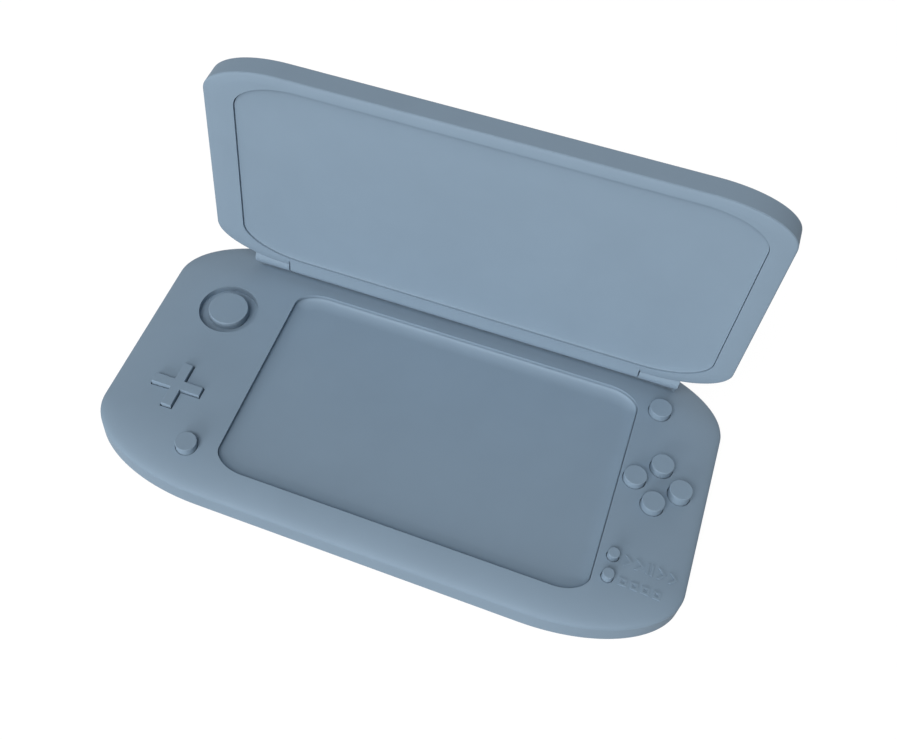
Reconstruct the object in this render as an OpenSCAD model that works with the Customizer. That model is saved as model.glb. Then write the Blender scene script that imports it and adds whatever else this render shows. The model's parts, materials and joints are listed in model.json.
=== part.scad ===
// Clamshell handheld game console.
// Frame: X to the right, Y to the back (hinge side), Z up, origin under the middle of the base on the
// surface that its feet stand on. The lid is drawn standing upright, 90 degrees open.

/* [Base case] */
// Width of the base
base_w = 180; // [178:1:220]
// Depth of the base
base_d = 96.6; // [95:0.1:118]
// Height of the base from its underside to the flat of the deck
base_h = 10.5; // [10:0.1:13]
// Length of a rounded corner along the width
base_corner_x = 40.5; // [38.5:0.5:45]
// Length of a rounded corner along the depth
base_corner_y = 21.7; // [21.5:0.1:26]
// How far the deck crowns down to its edge
crown_drop = 3.9; // [2:0.1:4.4]
// Width of the crown at the left and right edges
crown_x = 36; // [20:0.5:36.5]
// Width of the crown at the front and back edges
crown_y = 19.4; // [12:0.1:19.6]
// Thickness of the case walls
wall_t = 1.8; // [1.4:0.1:2]
// Thickness of the case floors
floor_t = 1.6; // [1.2:0.1:2]
// How far the rubber feet stand below the case
foot_proud = 0.5; // [0.3:0.1:1]
// Radius of a rubber foot
foot_r = 5; // [3:0.5:6]

/* [Base screen] */
// Middle of the screen recess, right of the middle of the base
screen_x = 8.15; // [4:0.05:9]
// Middle of the screen recess, behind the middle of the base
screen_y = -3.6; // [-5:0.1:-3]
// Width of the screen recess
screen_w = 112.3; // [90:0.1:112.6]
// Depth of the screen recess from front to back
screen_d = 70.8; // [56:0.1:71]
// Length of a recess corner along the width
screen_corner_x = 9.8; // [7:0.1:14]
// Length of a recess corner along the depth
screen_corner_y = 6.2; // [6:0.1:12]
// Height of the upright edge of the recess under the flat of the deck
screen_step = 1.1; // [0.8:0.1:1.5]
// Depth of the recess floor under the flat of the deck
screen_sink = 2.6; // [2:0.1:2.8]
// Width of the hollow curve between the edge and the floor
screen_curve = 4.6; // [2:0.1:5]

/* [Buttons] */
// Radius of an action, menu or home button
button_r = 3.28; // [2.4:0.02:3.4]
// Radius of an option button
option_r = 1.65; // [1.3:0.05:2.2]
// How far the button tops stand over the flat of the deck
button_top = 2; // [1:0.1:3]
// Travel of a button
button_travel = 0.7; // [0.3:0.1:0.7]
// Middle of the action buttons, right of the middle of the base
cluster_x = 75.1; // [74.5:0.1:76]
// Middle of the action buttons, behind the middle of the base
cluster_y = 2.1; // [-2:0.1:6]
// Distance of each action button from their middle
cluster_r = 6.6; // [6:0.1:6.8]
// Menu button, right of the middle of the base
menu_x = 70.5; // [69:0.1:72]
// Menu button, behind the middle of the base
menu_y = 27.9; // [22:0.1:29]
// Home button, left of the middle of the base
home_x = -57.2; // [-60:0.1:-55]
// Home button, in front of the middle of the base
home_y = -35.8; // [-37:0.1:-34]
// Option buttons, right of the middle of the base
option_x = 68.4; // [68:0.1:70]
// Rear option button, in front of the middle of the base
option_y = -24.4; // [-26:0.1:-22]
// Distance between the two option buttons
option_pitch = 6.6; // [6:0.1:7]
// How far the raised marks beside the option buttons stand over the deck
mark_top = 0.3; // [0.1:0.05:0.8]

/* [Direction pad] */
// Middle of the pad, left of the middle of the base
pad_x = -69; // [-70:0.1:-66]
// Middle of the pad, in front of the middle of the base
pad_y = -17.7; // [-19:0.1:-16]
// Reach of an arm from the middle
pad_reach = 8; // [6.5:0.1:8.4]
// Width of an arm
pad_arm_w = 3.25; // [2.8:0.05:5]
// How far the pad stands over the flat of the deck
pad_top = 0.9; // [0.5:0.1:2]
// Gap around the pad in the deck
pad_gap = 0.4; // [0.35:0.05:0.8]

/* [Thumb stick] */
// Middle of the stick, left of the middle of the base
stick_x = -67.1; // [-68:0.1:-66.5]
// Middle of the stick, behind the middle of the base
stick_y = 15.6; // [14:0.1:16]
// Radius of the well
well_r = 9.6; // [9:0.1:10.4]
// Depth of the well floor under the flat of the deck
well_sink = 3.1; // [2.6:0.1:3.2]
// Radius of the stick cap
cap_r = 6.4; // [6.3:0.05:6.8]
// How far the cap stands over the flat of the deck
cap_top = 0.2; // [-0.4:0.1:1]
// Travel of the stick each way
stick_travel = 1.6; // [0.8:0.1:1.7]
// Radius of the stick's stem
stem_r = 1.4; // [1:0.1:1.4]

/* [Lid] */
// Width of the lid
lid_w = 163.9; // [140:0.1:170]
// Height of the lid when it stands open
lid_h = 75.8; // [66:0.1:78]
// Thickness of the lid
lid_t = 7.5; // [7.2:0.1:9]
// Middle of the lid, right of the middle of the base
lid_x = 4; // [0:0.1:5]
// Length of a lid corner along the width
lid_corner_x = 23.6; // [22.6:0.1:30]
// Length of a lid corner along the height
lid_corner_y = 10.9; // [10.7:0.1:16]
// How far the inner face falls away at its rim
lid_crown_drop = 0.6; // [0.2:0.05:0.8]
// Width of that rim at the left and right
lid_crown_x = 9; // [4:0.5:12]
// Width of that rim at the top and bottom
lid_crown_y = 5; // [3:0.5:7]
// Border between the lid's edge and its panel at the left
panel_left = 9.4; // [5.8:0.1:12]
// Border between the lid's edge and its panel at the right
panel_right = 6.1; // [5.8:0.1:12]
// Border between the lid's edge and its panel at the top
panel_top_border = 3.55; // [3.4:0.05:8]
// Border between the lid's edge and its panel at the bottom
panel_low_border = 3.15; // [3.1:0.05:8]
// Length of a panel corner along the width
panel_corner_x = 19.5; // [18:0.1:24]
// Length of a panel corner along the height
panel_corner_y = 10.4; // [9:0.1:14]
// Step from the bezel down to the edge of the panel
panel_step = 0.55; // [0.3:0.05:0.8]
// Depth of the panel's flat under the bezel
panel_sink = 1.15; // [1:0.05:1.4]
// Width of the panel's curved edge at the left and right
panel_curve_x = 15; // [6:0.5:16]
// Width of the panel's curved edge at the top and bottom
panel_curve_y = 7; // [3:0.5:8]

/* [Hinge] */
// Length of the whole hinge barrel
hinge_len = 138.6; // [120:0.1:140]
// Distance of the hinge axis from the back edge of the base
hinge_back = 11; // [10.5:0.1:12]
// Radius of the barrel
barrel_r = 3.5; // [3.2:0.1:3.7]
// Length of each fixed knuckle
knuckle_len = 12; // [11:0.5:16]
// Radius of a hinge pin
pin_r = 1.5; // [1.3:0.05:1.6]
// Length of a hinge pin
pin_len = 14; // [12:0.5:18]

/* [Battery] */
// Width of the battery
battery_w = 70; // [50:1:72]
// Depth of the battery from front to back
battery_d = 50; // [36:1:52]
// Thickness of the battery
battery_t = 3.3; // [2:0.1:3.4]

/* [Fits] */
// Gap between fixed pieces that slip together
case_gap = 0.15; // [0.1:0.05:0.25]
// Gap between a button and its hole
button_gap = 0.2; // [0.15:0.05:0.3]
// Gap between pieces that pass each other
moving_gap = 0.3; // [0.2:0.05:0.4]
// Radial running gap of the hinge pins
run_gap = 0.05; // [0.02:0.01:0.1]

/* [Hidden] */
$fn = 48;
corner_steps = 10;
crown_steps = 7;
ring_size = 4 * (corner_steps + 1);
over = 0.01;
case_blue = "#7d94a8";
inner_grey = "#3a3f45";
board_green = "#2f6b4a";
steel = "#b8bcc0";

// Heights in the base, from the surface it stands on
deck_z = foot_proud + base_h;
crease_z = deck_z - crown_drop;
floor_z = foot_proud + floor_t;
screen_floor_z = deck_z - screen_sink;
screen_edge_z = deck_z - screen_step;
window_t = 1.2;
window_z = screen_floor_z - window_t;
display_t = 1.1;
plate_z = window_z - display_t;
plate_t = 0.5;
side_board_z = floor_z + 2.5;
board_t = 1;
side_board_top = side_board_z + board_t;
main_board_z = floor_z + 1.5;
main_board_top = main_board_z + board_t;
mat_t = 0.3;
mat_top = side_board_top + mat_t;
button_base_z = mat_top + button_travel + moving_gap;
lug_t = 0.8;
lug_reach = 1.1;
lug_w = 3;
collar_z = button_base_z + lug_t + button_gap;
collar_wall = 1.4;
button_top_z = deck_z + button_top;

// Screen block that hangs under the deck
block_wall = 1.6;
ledge_w = 4.2;
block_w = screen_w + 2 * block_wall;
block_d = screen_d + 2 * block_wall;
sill_w = screen_w - 2 * ledge_w;
sill_d = screen_d - 2 * ledge_w;
chassis_screw_in = 4;

// Tongue of the upper case inside the lower one
tongue_h = 1.5;
tongue_t = 1;

// Case screws: left rear, left middle, left front, right front, right middle, right rear, middle rear
case_posts = [
    [-base_w / 2 + 26, base_d / 2 - 13.8],
    [-base_w / 2 + 6.5, -1],
    [-base_w / 2 + 19, -base_d / 2 + 16.3],
    [base_w / 2 - 11, -base_d / 2 + 15.3],
    [base_w / 2 - 6.5, -12],
    [base_w / 2 - 9.5, base_d / 2 - 21.3],
    [-20, base_d / 2 - 5.3]
];
post_r = 2.6;
post_split_z = crease_z - 1.7;
screw_r = 0.95;
screw_hole_r = 1.1;
head_r = 1.9;
head_t = 1.1;
head_sink = 0.4;

// Rubber feet
foot_spots = [
    [-56, -base_d / 2 + 10.3], [56, -base_d / 2 + 10.3],
    [-56, base_d / 2 - 10.3], [56, base_d / 2 - 10.3]
];
foot_seat = 0.6;

// Battery and its cover
battery_x = -8;
battery_y = -4;
battery_slack = 1;
cover_step = 2;
cover_w = battery_w + 2 * battery_slack + 2 * cover_step;
cover_d = battery_d + 2 * battery_slack + 2 * cover_step;
cover_plate_t = 1;
ear_r = 5;
ear_x = battery_x;
ear_y = battery_y - cover_d / 2 - 1.5;
ear_head_t = 0.55;

// Boards
main_board_x = 49;
main_board_w = 32;
main_board_front = -base_d / 2 + 12.3;
main_board_back = base_d / 2 - 4.3;
main_spots = [[main_board_x - 12, -30], [main_board_x + 12, 24]];
left_board = [-base_w / 2 + 7, -base_d / 2 + 5, -51.5, -3.5];
right_board = [65.8, -base_d / 2 + 10, base_w / 2 - 3.5, base_d / 2 - 14];
side_spots = [[-79.5, -6], [-56, -6], [70, -14], [84, 18]];
board_inset = 3.3;
standoff_r = 2;
board_screw_r = 0.7;
board_head_r = 1.5;
board_head_t = 0.7;

// Charging socket
port_w = 9;
port_h = 3.2;
port_len = 8;
port_x = main_board_x;
port_z = floor_z + 0.8 + port_h / 2;
port_y = base_d / 2 - 0.7;

// Speakers: middle of each and slots under them
speaker_w = 14;
speaker_d = 9;
speaker_t = 2.2;
speaker_spots = [[-58, -28], [74, -22]];
slot_w = 8;
slot_d = 1.2;
slot_pitch = 2.4;

// Buttons
buttons = [
    [cluster_x, cluster_y + cluster_r, button_r],
    [cluster_x + cluster_r, cluster_y, button_r],
    [cluster_x, cluster_y - cluster_r, button_r],
    [cluster_x - cluster_r, cluster_y, button_r],
    [menu_x, menu_y, button_r],
    [home_x, home_y, button_r],
    [option_x, option_y, option_r],
    [option_x, option_y - option_pitch, option_r]
];
mark_gap = 1.6;
mark_pitch = 3.2;
mark_size = 3.2;
mark_stroke = 0.6;
mark_square = 2.2;
hollow_share = 0.6;
hollow_top_z = button_top_z - 3.4;
nub_gap = 0.45;

// Direction pad
pad_top_z = deck_z + pad_top;
pad_flange_t = 0.9;
pad_flange_z = side_board_top + 1.6;
pad_roof_z = pad_flange_z + pad_flange_t + 0.9;
pad_flange_out = 1.2;
pad_pocket_out = pad_flange_out + 0.8;
pad_pivot_r = 1.5;
pad_mat_t = 0.4;
rocker_r = 4;
rocker_t = 0.6;
rocker_z = pad_flange_z - 0.4 - rocker_t;

// Thumb stick
well_z = deck_z - well_sink;
well_wall = 1.2;
well_floor_t = 1;
cap_z = well_z + moving_gap;
cap_top_z = deck_z + cap_top;
stem_hole_r = stick_travel * sqrt(2) + stem_r + moving_gap;
tray_size = 26;
tray_wall = 1.2;
tray_floor_z = floor_z;
tray_floor_t = 0.8;
tray_top_z = well_z - well_floor_t - 0.3;
tray_in = tray_size - 2 * tray_wall;
slide_z = tray_floor_z + tray_floor_t + moving_gap;
slide_t = 1.5;
slider_w = 12;
frame_bar = 1.6;
carriage_x = tray_in - 2 * (stick_travel + moving_gap);
carriage_y = tray_in - 2 * moving_gap;
slider_y = carriage_y - 2 * frame_bar - 2 * (stick_travel + moving_gap);
stem_top_z = cap_top_z - 1.2;

// Hinge and lid places
barrel_inset = 0.3;
hinge_y = base_d / 2 - hinge_back;
hinge_z = button_top_z + moving_gap + barrel_r + barrel_inset;
hinge_left = lid_x - hinge_len / 2;
hinge_right = lid_x + hinge_len / 2;
barrel_left = hinge_left + knuckle_len + moving_gap;
barrel_right = hinge_right - knuckle_len - moving_gap;
lid_face_y = hinge_y - barrel_r - barrel_inset;
lid_low_z = hinge_z + 1.6;
lid_mid_z = lid_low_z + lid_h / 2;
neck_top_z = lid_low_z + wall_t + 0.1;
knuckle_clear_r = barrel_r + moving_gap + 0.05;
notch_len = knuckle_len + 30;
notch_h = 3.2;
web_front = hinge_y + 0.2;
web_back = hinge_y + barrel_r;
web_root_z = deck_z - 1.8;
saddle_top_z = hinge_z - barrel_r - 0.4;
pin_in_knuckle = 6.5;
pin_bore_r = 0.9;
cable_r = 0.6;
chamber_r = 2.3;
chamber_len = 4;
cable_y = hinge_y + 1.6;
cable_x = hinge_left + knuckle_len - pin_in_knuckle - chamber_len / 2;
cable_z = main_board_top + cable_r;
cable_end_x = -25;
connector_w = 6;
connector_d = 3;
connector_h = 1.2;
connector_x = main_board_x - main_board_w / 2 + connector_w / 2 + 0.5;

// Lid insides
panel_w = lid_w - panel_left - panel_right;
panel_h = lid_h - panel_top_border - panel_low_border;
panel_x = (panel_left - panel_right) / 2;
panel_y = (panel_low_border - panel_top_border) / 2;
panel_back = 2.4;
panel_ledge = 3;
bezel_back = 3.5;
lid_back_t = 1.6;
lid_display_w = 128;
lid_display_h = 58;
lid_display_t = 1.6;
lid_board_w = 30;
lid_board_h = 5;
lid_board_t = 0.8;
lid_board_y = -lid_h / 2 + 6;
flex_w = 8;
flex_t = 0.3;
flex_x = cable_end_x + 1 + flex_w / 2;
peg_r = 1;
magnet_r = 3;
magnet_t = 1.2;

// ---- Outlines and lofts ----

// Points of a rectangle whose corners are quarter ellipses
function oval_rect(w, d, rx, ry) = [
    for (q = [0:3])
        for (i = [0:corner_steps])
            let (a = 90 * q + 90 * i / corner_steps,
                 sx = (q == 0 || q == 3) ? 1 : -1,
                 sy = (q < 2) ? 1 : -1)
            [sx * (w / 2 - rx) + rx * cos(a), sy * (d / 2 - ry) + ry * sin(a)]
];

// A plate with that outline, shrunk all round by inset
module oval_plate(w, d, rx, ry, t, inset = 0) {
    linear_extrude(t)
        polygon(oval_rect(w - 2 * inset, d - 2 * inset, rx - inset, ry - inset));
}

// A solid skinned over rings, each [width, depth, corner x, corner y, height]
module loft(rings) {
    n = ring_size;
    last = len(rings) - 1;
    points = [
        for (r = rings) for (p = oval_rect(r[0], r[1], r[2], r[3])) [p[0], p[1], r[4]]
    ];
    sides = [
        for (k = [0:last - 1]) for (i = [0:n - 1])
            let (j = (i + 1) % n)
            each [[k * n + i, (k + 1) * n + i, (k + 1) * n + j], [k * n + i, (k + 1) * n + j, k * n + j]]
    ];
    caps = [[for (i = [0:n - 1]) i], [for (i = [n - 1:-1:0]) last * n + i]];
    polyhedron(points, concat(sides, caps), convexity = 4);
}

// Rings of an elliptical crown that rises from a crease, over an upright wall that starts at low
function crown_rings(w, d, rx, ry, cx, cy, drop, crease, low) = concat(
    low < crease ? [[w, d, rx, ry, low]] : [],
    [for (k = [0:crown_steps])
        let (a = 90 * k / crown_steps, ix = cx * (1 - cos(a)), iy = cy * (1 - cos(a)))
        [w - 2 * ix, d - 2 * iy, rx - ix, ry - iy, crease + drop * sin(a)]]
);

// Rings of a tray: flat underside, upright edge, then a hollow curve down to a flat
function dish_rings(w, d, rx, ry, cx, cy, low, edge, flat) = concat(
    [[w, d, rx, ry, low]],
    [for (k = [0:crown_steps])
        let (a = 90 * k / crown_steps, ix = cx * (1 - cos(a)), iy = cy * (1 - cos(a)))
        [w - 2 * ix, d - 2 * iy, rx - ix, ry - iy, edge - (edge - flat) * sin(a)]]
);

module base_crown(low) {
    loft(crown_rings(base_w, base_d, base_corner_x, base_corner_y, crown_x, crown_y, crown_drop,
        crease_z, low));
}

module base_cavity(low) {
    loft(crown_rings(base_w - 2 * wall_t, base_d - 2 * wall_t, base_corner_x - wall_t,
        base_corner_y - wall_t, crown_x, crown_y, crown_drop, crease_z - wall_t, low));
}

module base_plate(low, t, inset = 0) {
    translate([0, 0, low])
        oval_plate(base_w, base_d, base_corner_x, base_corner_y, t, inset);
}

module screen_plate(low, t, inset = 0) {
    translate([screen_x, screen_y, low])
        oval_plate(screen_w, screen_d, screen_corner_x, screen_corner_y, t, inset);
}

// A box given by its low and high corners
module span(low, high) {
    translate(low)
        cube(high - low);
}

module tube_x(x, y, z, r, len) {
    translate([x, y, z])
        rotate([0, 90, 0])
            cylinder(r = r, h = len);
}

module at(spot, z = 0) {
    translate([spot[0], spot[1], z])
        children();
}

// ---- Base case ----

module plus(reach, arm, low, t) {
    translate([pad_x, pad_y, low])
        linear_extrude(t) {
            square([2 * reach, arm], center = true);
            square([arm, 2 * reach], center = true);
        }
}

module button_lug(r, low, t, gap = 0) {
    translate([-lug_w / 2 - gap, -r - lug_reach - gap, low])
        cube([lug_w + 2 * gap, 2 * (r + lug_reach + gap), t]);
}

module chassis_screw_spots() {
    for (sx = [-1, 1]) for (sy = [-1, 1])
        translate([screen_x + sx * (screen_w / 2 - screen_corner_x / 2 - chassis_screw_in),
                   screen_y + sy * (block_d / 2 - 2.4)])
            children();
}

module deck_fittings() {
    for (p = case_posts)
        at(p, post_split_z)
            cylinder(r = post_r, h = deck_z);
    for (b = buttons)
        at(b, collar_z)
            cylinder(r = b[2] + button_gap + collar_wall, h = deck_z);
    at([stick_x, stick_y], well_z - well_floor_t)
        cylinder(r = well_r + well_wall, h = deck_z);
    translate([screen_x, screen_y, plate_z])
        oval_plate(block_w, block_d, screen_corner_x + block_wall, screen_corner_y + block_wall, deck_z);
}

module deck_cuts() {
    for (p = case_posts)
        at(p, post_split_z - 1)
            cylinder(r = screw_r, h = 3.2);
    for (b = buttons)
        at(b) {
            cylinder(r = b[2] + button_gap, h = 2 * deck_z);
            button_lug(b[2], side_board_top, collar_z - side_board_top, moving_gap);
        }
    span([pad_x - pad_reach - pad_pocket_out, pad_y - pad_reach - pad_pocket_out, side_board_top],
         [pad_x + pad_reach + pad_pocket_out, pad_y + pad_reach + pad_pocket_out, pad_roof_z]);
    plus(pad_reach + pad_gap, pad_arm_w + 2 * pad_gap, pad_roof_z - 1, deck_z);
    at([stick_x, stick_y], well_z)
        cylinder(r = well_r, h = deck_z, $fn = 96);
    at([stick_x, stick_y])
        cylinder(r = stem_hole_r, h = deck_z);
    screen_plate(window_z, deck_z);
    screen_plate(plate_z - 1, deck_z, ledge_w);
    chassis_screw_spots()
        translate([0, 0, plate_z - 1])
            cylinder(r = board_screw_r, h = 3);
    port_slot(case_gap, port_len);
}

module option_marks_2d() {
    first = option_x + option_r + mark_gap;
    tip = mark_size / 2;
    arm = mark_stroke * sqrt(2);
    translate([first, option_y - tip]) {
        for (k = [0, 1, 3, 4])
            translate([mark_pitch * k, 0])
                polygon([[0, 0], [arm, 0], [arm + tip, tip], [arm, mark_size], [0, mark_size], [tip, tip]]);
        for (k = [2, 2.4])
            translate([mark_pitch * k, 0])
                square([mark_stroke, mark_size]);
    }
    translate([first, option_y - option_pitch - mark_square / 2])
        for (k = [0:3])
            translate([mark_pitch * k, 0])
                difference() {
                    square([mark_square, mark_square]);
                    translate([mark_stroke, mark_stroke])
                        square([mark_square - 2 * mark_stroke, mark_square - 2 * mark_stroke]);
                }
}

module hinge_knuckle(x) {
    tube_x(x, hinge_y, hinge_z, barrel_r, knuckle_len);
    span([x, web_front, web_root_z], [x + knuckle_len, web_back, hinge_z]);
}

module base_upper_shell() {
    color(case_blue)
        difference() {
            union() {
                difference() {
                    union() {
                        base_crown(crease_z);
                        intersection() {
                            translate([0, 0, mark_top])
                                base_crown(crease_z);
                            translate([0, 0, crease_z + 0.2])
                                linear_extrude(crown_drop + mark_top)
                                    option_marks_2d();
                        }
                    }
                    base_cavity(0);
                }
                difference() {
                    base_plate(crease_z - tongue_h, tongue_h + 0.4, wall_t + case_gap);
                    base_plate(0, deck_z, wall_t + case_gap + tongue_t);
                }
                intersection() {
                    base_crown(plate_z - 2);
                    deck_fittings();
                }
                hinge_knuckle(hinge_left);
                hinge_knuckle(hinge_right - knuckle_len);
                span([hinge_left, web_front, web_root_z], [hinge_right, web_back, saddle_top_z]);
            }
            deck_cuts();
            tube_x(hinge_left + knuckle_len - pin_in_knuckle, hinge_y, hinge_z, pin_r, knuckle_len);
            tube_x(hinge_right - knuckle_len - 1, hinge_y, hinge_z, pin_r, pin_in_knuckle + 1);
            tube_x(cable_x - chamber_len / 2, hinge_y, hinge_z, chamber_r, chamber_len);
            translate([cable_x, cable_y, 0])
                cylinder(r = cable_r + case_gap, h = hinge_z);
        }
}

module battery_opening() {
    gap = case_gap;
    span([battery_x - cover_w / 2 - gap, battery_y - cover_d / 2 - gap, 0],
         [battery_x + cover_w / 2 + gap, battery_y + cover_d / 2 + gap, foot_proud + cover_plate_t]);
    translate([ear_x, ear_y, 0])
        cylinder(r = ear_r + gap, h = foot_proud + cover_plate_t);
    span([battery_x - cover_w / 2 + cover_step - gap, battery_y - cover_d / 2 + cover_step - gap, 0],
         [battery_x + cover_w / 2 - cover_step + gap, battery_y + cover_d / 2 - cover_step + gap,
          floor_z + 1]);
}

module port_slot(grow, len) {
    translate([port_x, port_y + len / 2, port_z])
        rotate([90, 0, 0])
            linear_extrude(len) {
                square([port_w - port_h, port_h + 2 * grow], center = true);
                for (s = [-1, 1])
                    translate([s * (port_w - port_h) / 2, 0])
                        circle(r = port_h / 2 + grow);
            }
}

module base_lower_shell() {
    color(case_blue)
        difference() {
            union() {
                difference() {
                    base_plate(foot_proud, crease_z - foot_proud);
                    base_plate(floor_z, base_h, wall_t);
                }
                for (p = case_posts)
                    at(p, foot_proud)
                        cylinder(r = post_r, h = post_split_z - foot_proud);
                for (p = main_spots)
                    at(p, foot_proud)
                        cylinder(r = standoff_r, h = main_board_z - foot_proud);
                for (p = side_spots)
                    at(p, foot_proud)
                        cylinder(r = standoff_r, h = side_board_z - foot_proud);
                translate([ear_x, ear_y, foot_proud])
                    cylinder(r = 3, h = 4);
            }
            for (p = case_posts)
                at(p) {
                    cylinder(r = screw_hole_r, h = deck_z);
                    cylinder(r = head_r + case_gap, h = foot_proud + head_sink + head_t);
                }
            for (p = concat(main_spots, side_spots))
                at(p, floor_z)
                    cylinder(r = board_screw_r, h = deck_z);
            for (p = foot_spots)
                at(p)
                    cylinder(r = foot_r, h = foot_proud + foot_seat);
            for (p = speaker_spots)
                for (k = [-1:1])
                    translate([p[0] - slot_w / 2, p[1] + slot_pitch * k - slot_d / 2, 0])
                        cube([slot_w, slot_d, floor_z + 1]);
            battery_opening();
            translate([ear_x, ear_y, 0])
                cylinder(r = screw_r, h = foot_proud + 3.9);
            port_slot(case_gap, port_len);
        }
}

module battery_cover() {
    color(case_blue)
        difference() {
            union() {
                span([battery_x - cover_w / 2, battery_y - cover_d / 2, foot_proud],
                     [battery_x + cover_w / 2, battery_y + cover_d / 2, foot_proud + cover_plate_t]);
                translate([ear_x, ear_y, foot_proud])
                    cylinder(r = ear_r, h = cover_plate_t);
                span([battery_x - cover_w / 2 + cover_step, battery_y - cover_d / 2 + cover_step,
                      foot_proud],
                     [battery_x + cover_w / 2 - cover_step, battery_y + cover_d / 2 - cover_step,
                      floor_z]);
            }
            translate([ear_x, ear_y, 0]) {
                cylinder(r = screw_hole_r, h = deck_z);
                cylinder(r = head_r + case_gap, h = foot_proud + ear_head_t + 0.05);
            }
        }
}

module battery() {
    color(inner_grey)
        span([battery_x - battery_w / 2, battery_y - battery_d / 2, floor_z],
             [battery_x + battery_w / 2, battery_y + battery_d / 2, floor_z + battery_t]);
}

module case_screws() {
    color(steel)
        for (p = case_posts)
            at(p, foot_proud + head_sink) {
                cylinder(r = head_r, h = head_t);
                cylinder(r = screw_r, h = post_split_z + 1.8 - foot_proud - head_sink);
            }
}

module battery_cover_screw() {
    color(steel)
        translate([ear_x, ear_y, foot_proud + 0.05]) {
            cylinder(r = head_r, h = ear_head_t);
            cylinder(r = screw_r, h = 3.6);
        }
}

module rubber_feet() {
    color("#2b2d30")
        for (p = foot_spots)
            at(p)
                cylinder(r = foot_r - case_gap, h = foot_proud + foot_seat);
}

module base_window() {
    color(case_blue)
        translate([screen_x, screen_y, 0])
            loft(dish_rings(screen_w - 2 * case_gap, screen_d - 2 * case_gap,
                screen_corner_x - case_gap, screen_corner_y - case_gap,
                screen_curve, screen_curve, window_z, screen_edge_z, screen_floor_z));
}

module base_display() {
    color(inner_grey)
        translate([screen_x, screen_y, plate_z + display_t / 2])
            cube([sill_w - 2 * screen_corner_x / 4, sill_d - 1, display_t], center = true);
}

module chassis_plate() {
    color(steel)
        difference() {
            translate([screen_x, screen_y, plate_z - plate_t])
                oval_plate(block_w, block_d, screen_corner_x + block_wall,
                    screen_corner_y + block_wall, plate_t);
            chassis_screw_spots()
                translate([0, 0, plate_z - 2])
                    cylinder(r = board_screw_r + 0.1, h = 3);
            for (k = [-1, 1])
                translate([screen_x + k * 32, screen_y, plate_z - 2])
                    cylinder(r = 9, h = 3);
        }
}

module chassis_screws() {
    color(steel)
        chassis_screw_spots() {
            translate([0, 0, plate_z - plate_t - 0.6])
                cylinder(r = board_head_r, h = 0.6);
            translate([0, 0, plate_z - plate_t])
                cylinder(r = board_screw_r, h = plate_t + display_t - 0.1);
        }
}

// ---- Boards and what is on them ----

module board_hole(spot) {
    at(spot)
        cylinder(r = board_screw_r + 0.1, h = deck_z);
}

module side_board(area) {
    color(board_green)
        difference() {
            intersection() {
                span([area[0], area[1], side_board_z], [area[2], area[3], side_board_top]);
                base_plate(0, deck_z, board_inset);
            }
            for (p = case_posts)
                at(p)
                    cylinder(r = post_r + 0.5, h = deck_z);
            for (p = side_spots)
                board_hole(p);
        }
}

module left_board() {
    side_board(left_board);
}

module right_board() {
    side_board(right_board);
}

module main_board() {
    color(board_green)
        difference() {
            union() {
                span([main_board_x - main_board_w / 2, main_board_front, main_board_z],
                     [main_board_x + main_board_w / 2, main_board_back, main_board_top]);
                translate([connector_x - connector_w / 2, cable_y - connector_d / 2, main_board_z])
                    cube([connector_w, connector_d, board_t + connector_h]);
            }
            span([port_x - port_w / 2 - 0.4, port_y - port_len - 0.4, 0],
                 [port_x + port_w / 2 + 0.4, base_d / 2, deck_z]);
            for (p = main_spots)
                board_hole(p);
            translate([connector_x - connector_w / 2 - 1, cable_y, cable_z])
                rotate([0, 90, 0])
                    cylinder(r = cable_r, h = 3);
        }
}

module shield_can() {
    color(steel)
        difference() {
            translate([main_board_x - 11, -11, main_board_top])
                cube([22, 22, 0.9]);
            translate([main_board_x - 10.6, -10.6, main_board_top - 1])
                cube([21.2, 21.2, 1.6]);
        }
}

module board_screws() {
    color(steel) {
        for (p = main_spots)
            at(p, main_board_top) {
                cylinder(r = board_head_r, h = board_head_t);
                translate([0, 0, -board_t - 1.3])
                    cylinder(r = board_screw_r, h = board_t + 1.5);
            }
        for (p = side_spots)
            at(p, side_board_top) {
                cylinder(r = board_head_r, h = board_head_t);
                translate([0, 0, -board_t - 2.2])
                    cylinder(r = board_screw_r, h = board_t + 2.4);
            }
    }
}

module speakers() {
    color(inner_grey)
        for (p = speaker_spots)
            at(p, floor_z)
                translate([-speaker_w / 2, -speaker_d / 2, 0])
                    cube([speaker_w, speaker_d, speaker_t]);
}

module charge_port() {
    color(steel)
        difference() {
            translate([0, -port_len / 2, 0])
                port_slot(0, port_len);
            translate([0, -port_len / 2 + 1.5, 0])
                port_slot(-0.35, port_len);
        }
}

// ---- Buttons ----

module button(spot) {
    color(case_blue)
        at(spot)
            difference() {
                union() {
                    translate([0, 0, button_base_z])
                        cylinder(r = spot[2], h = button_top_z - button_base_z);
                    button_lug(spot[2], button_base_z, lug_t);
                }
                cylinder(r = spot[2] * hollow_share, h = hollow_top_z);
            }
}

module button_mat(first, last, border) {
    spots = [for (k = [first:last]) buttons[k]];
    xs = [for (b = spots) b[0]];
    ys = [for (b = spots) b[1]];
    color("#4a4d52") {
        span([min(xs) - border, min(ys) - border, side_board_top],
             [max(xs) + border, max(ys) + border, mat_top]);
        for (b = spots)
            at(b, side_board_top)
                cylinder(r = b[2] * hollow_share - nub_gap, h = hollow_top_z - button_travel
                    - nub_gap - side_board_top);
    }
}

module action_button_mat() {
    button_mat(0, 3, 2.5);
}

module menu_button_mat() {
    button_mat(4, 4, 3.2);
}

module home_button_mat() {
    button_mat(5, 5, 3.2);
}

module option_button_mat() {
    button_mat(6, 7, 2.4);
}

module button_north() {
    button(buttons[0]);
}

module button_east() {
    button(buttons[1]);
}

module button_south() {
    button(buttons[2]);
}

module button_west() {
    button(buttons[3]);
}

module menu_button() {
    button(buttons[4]);
}

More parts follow.
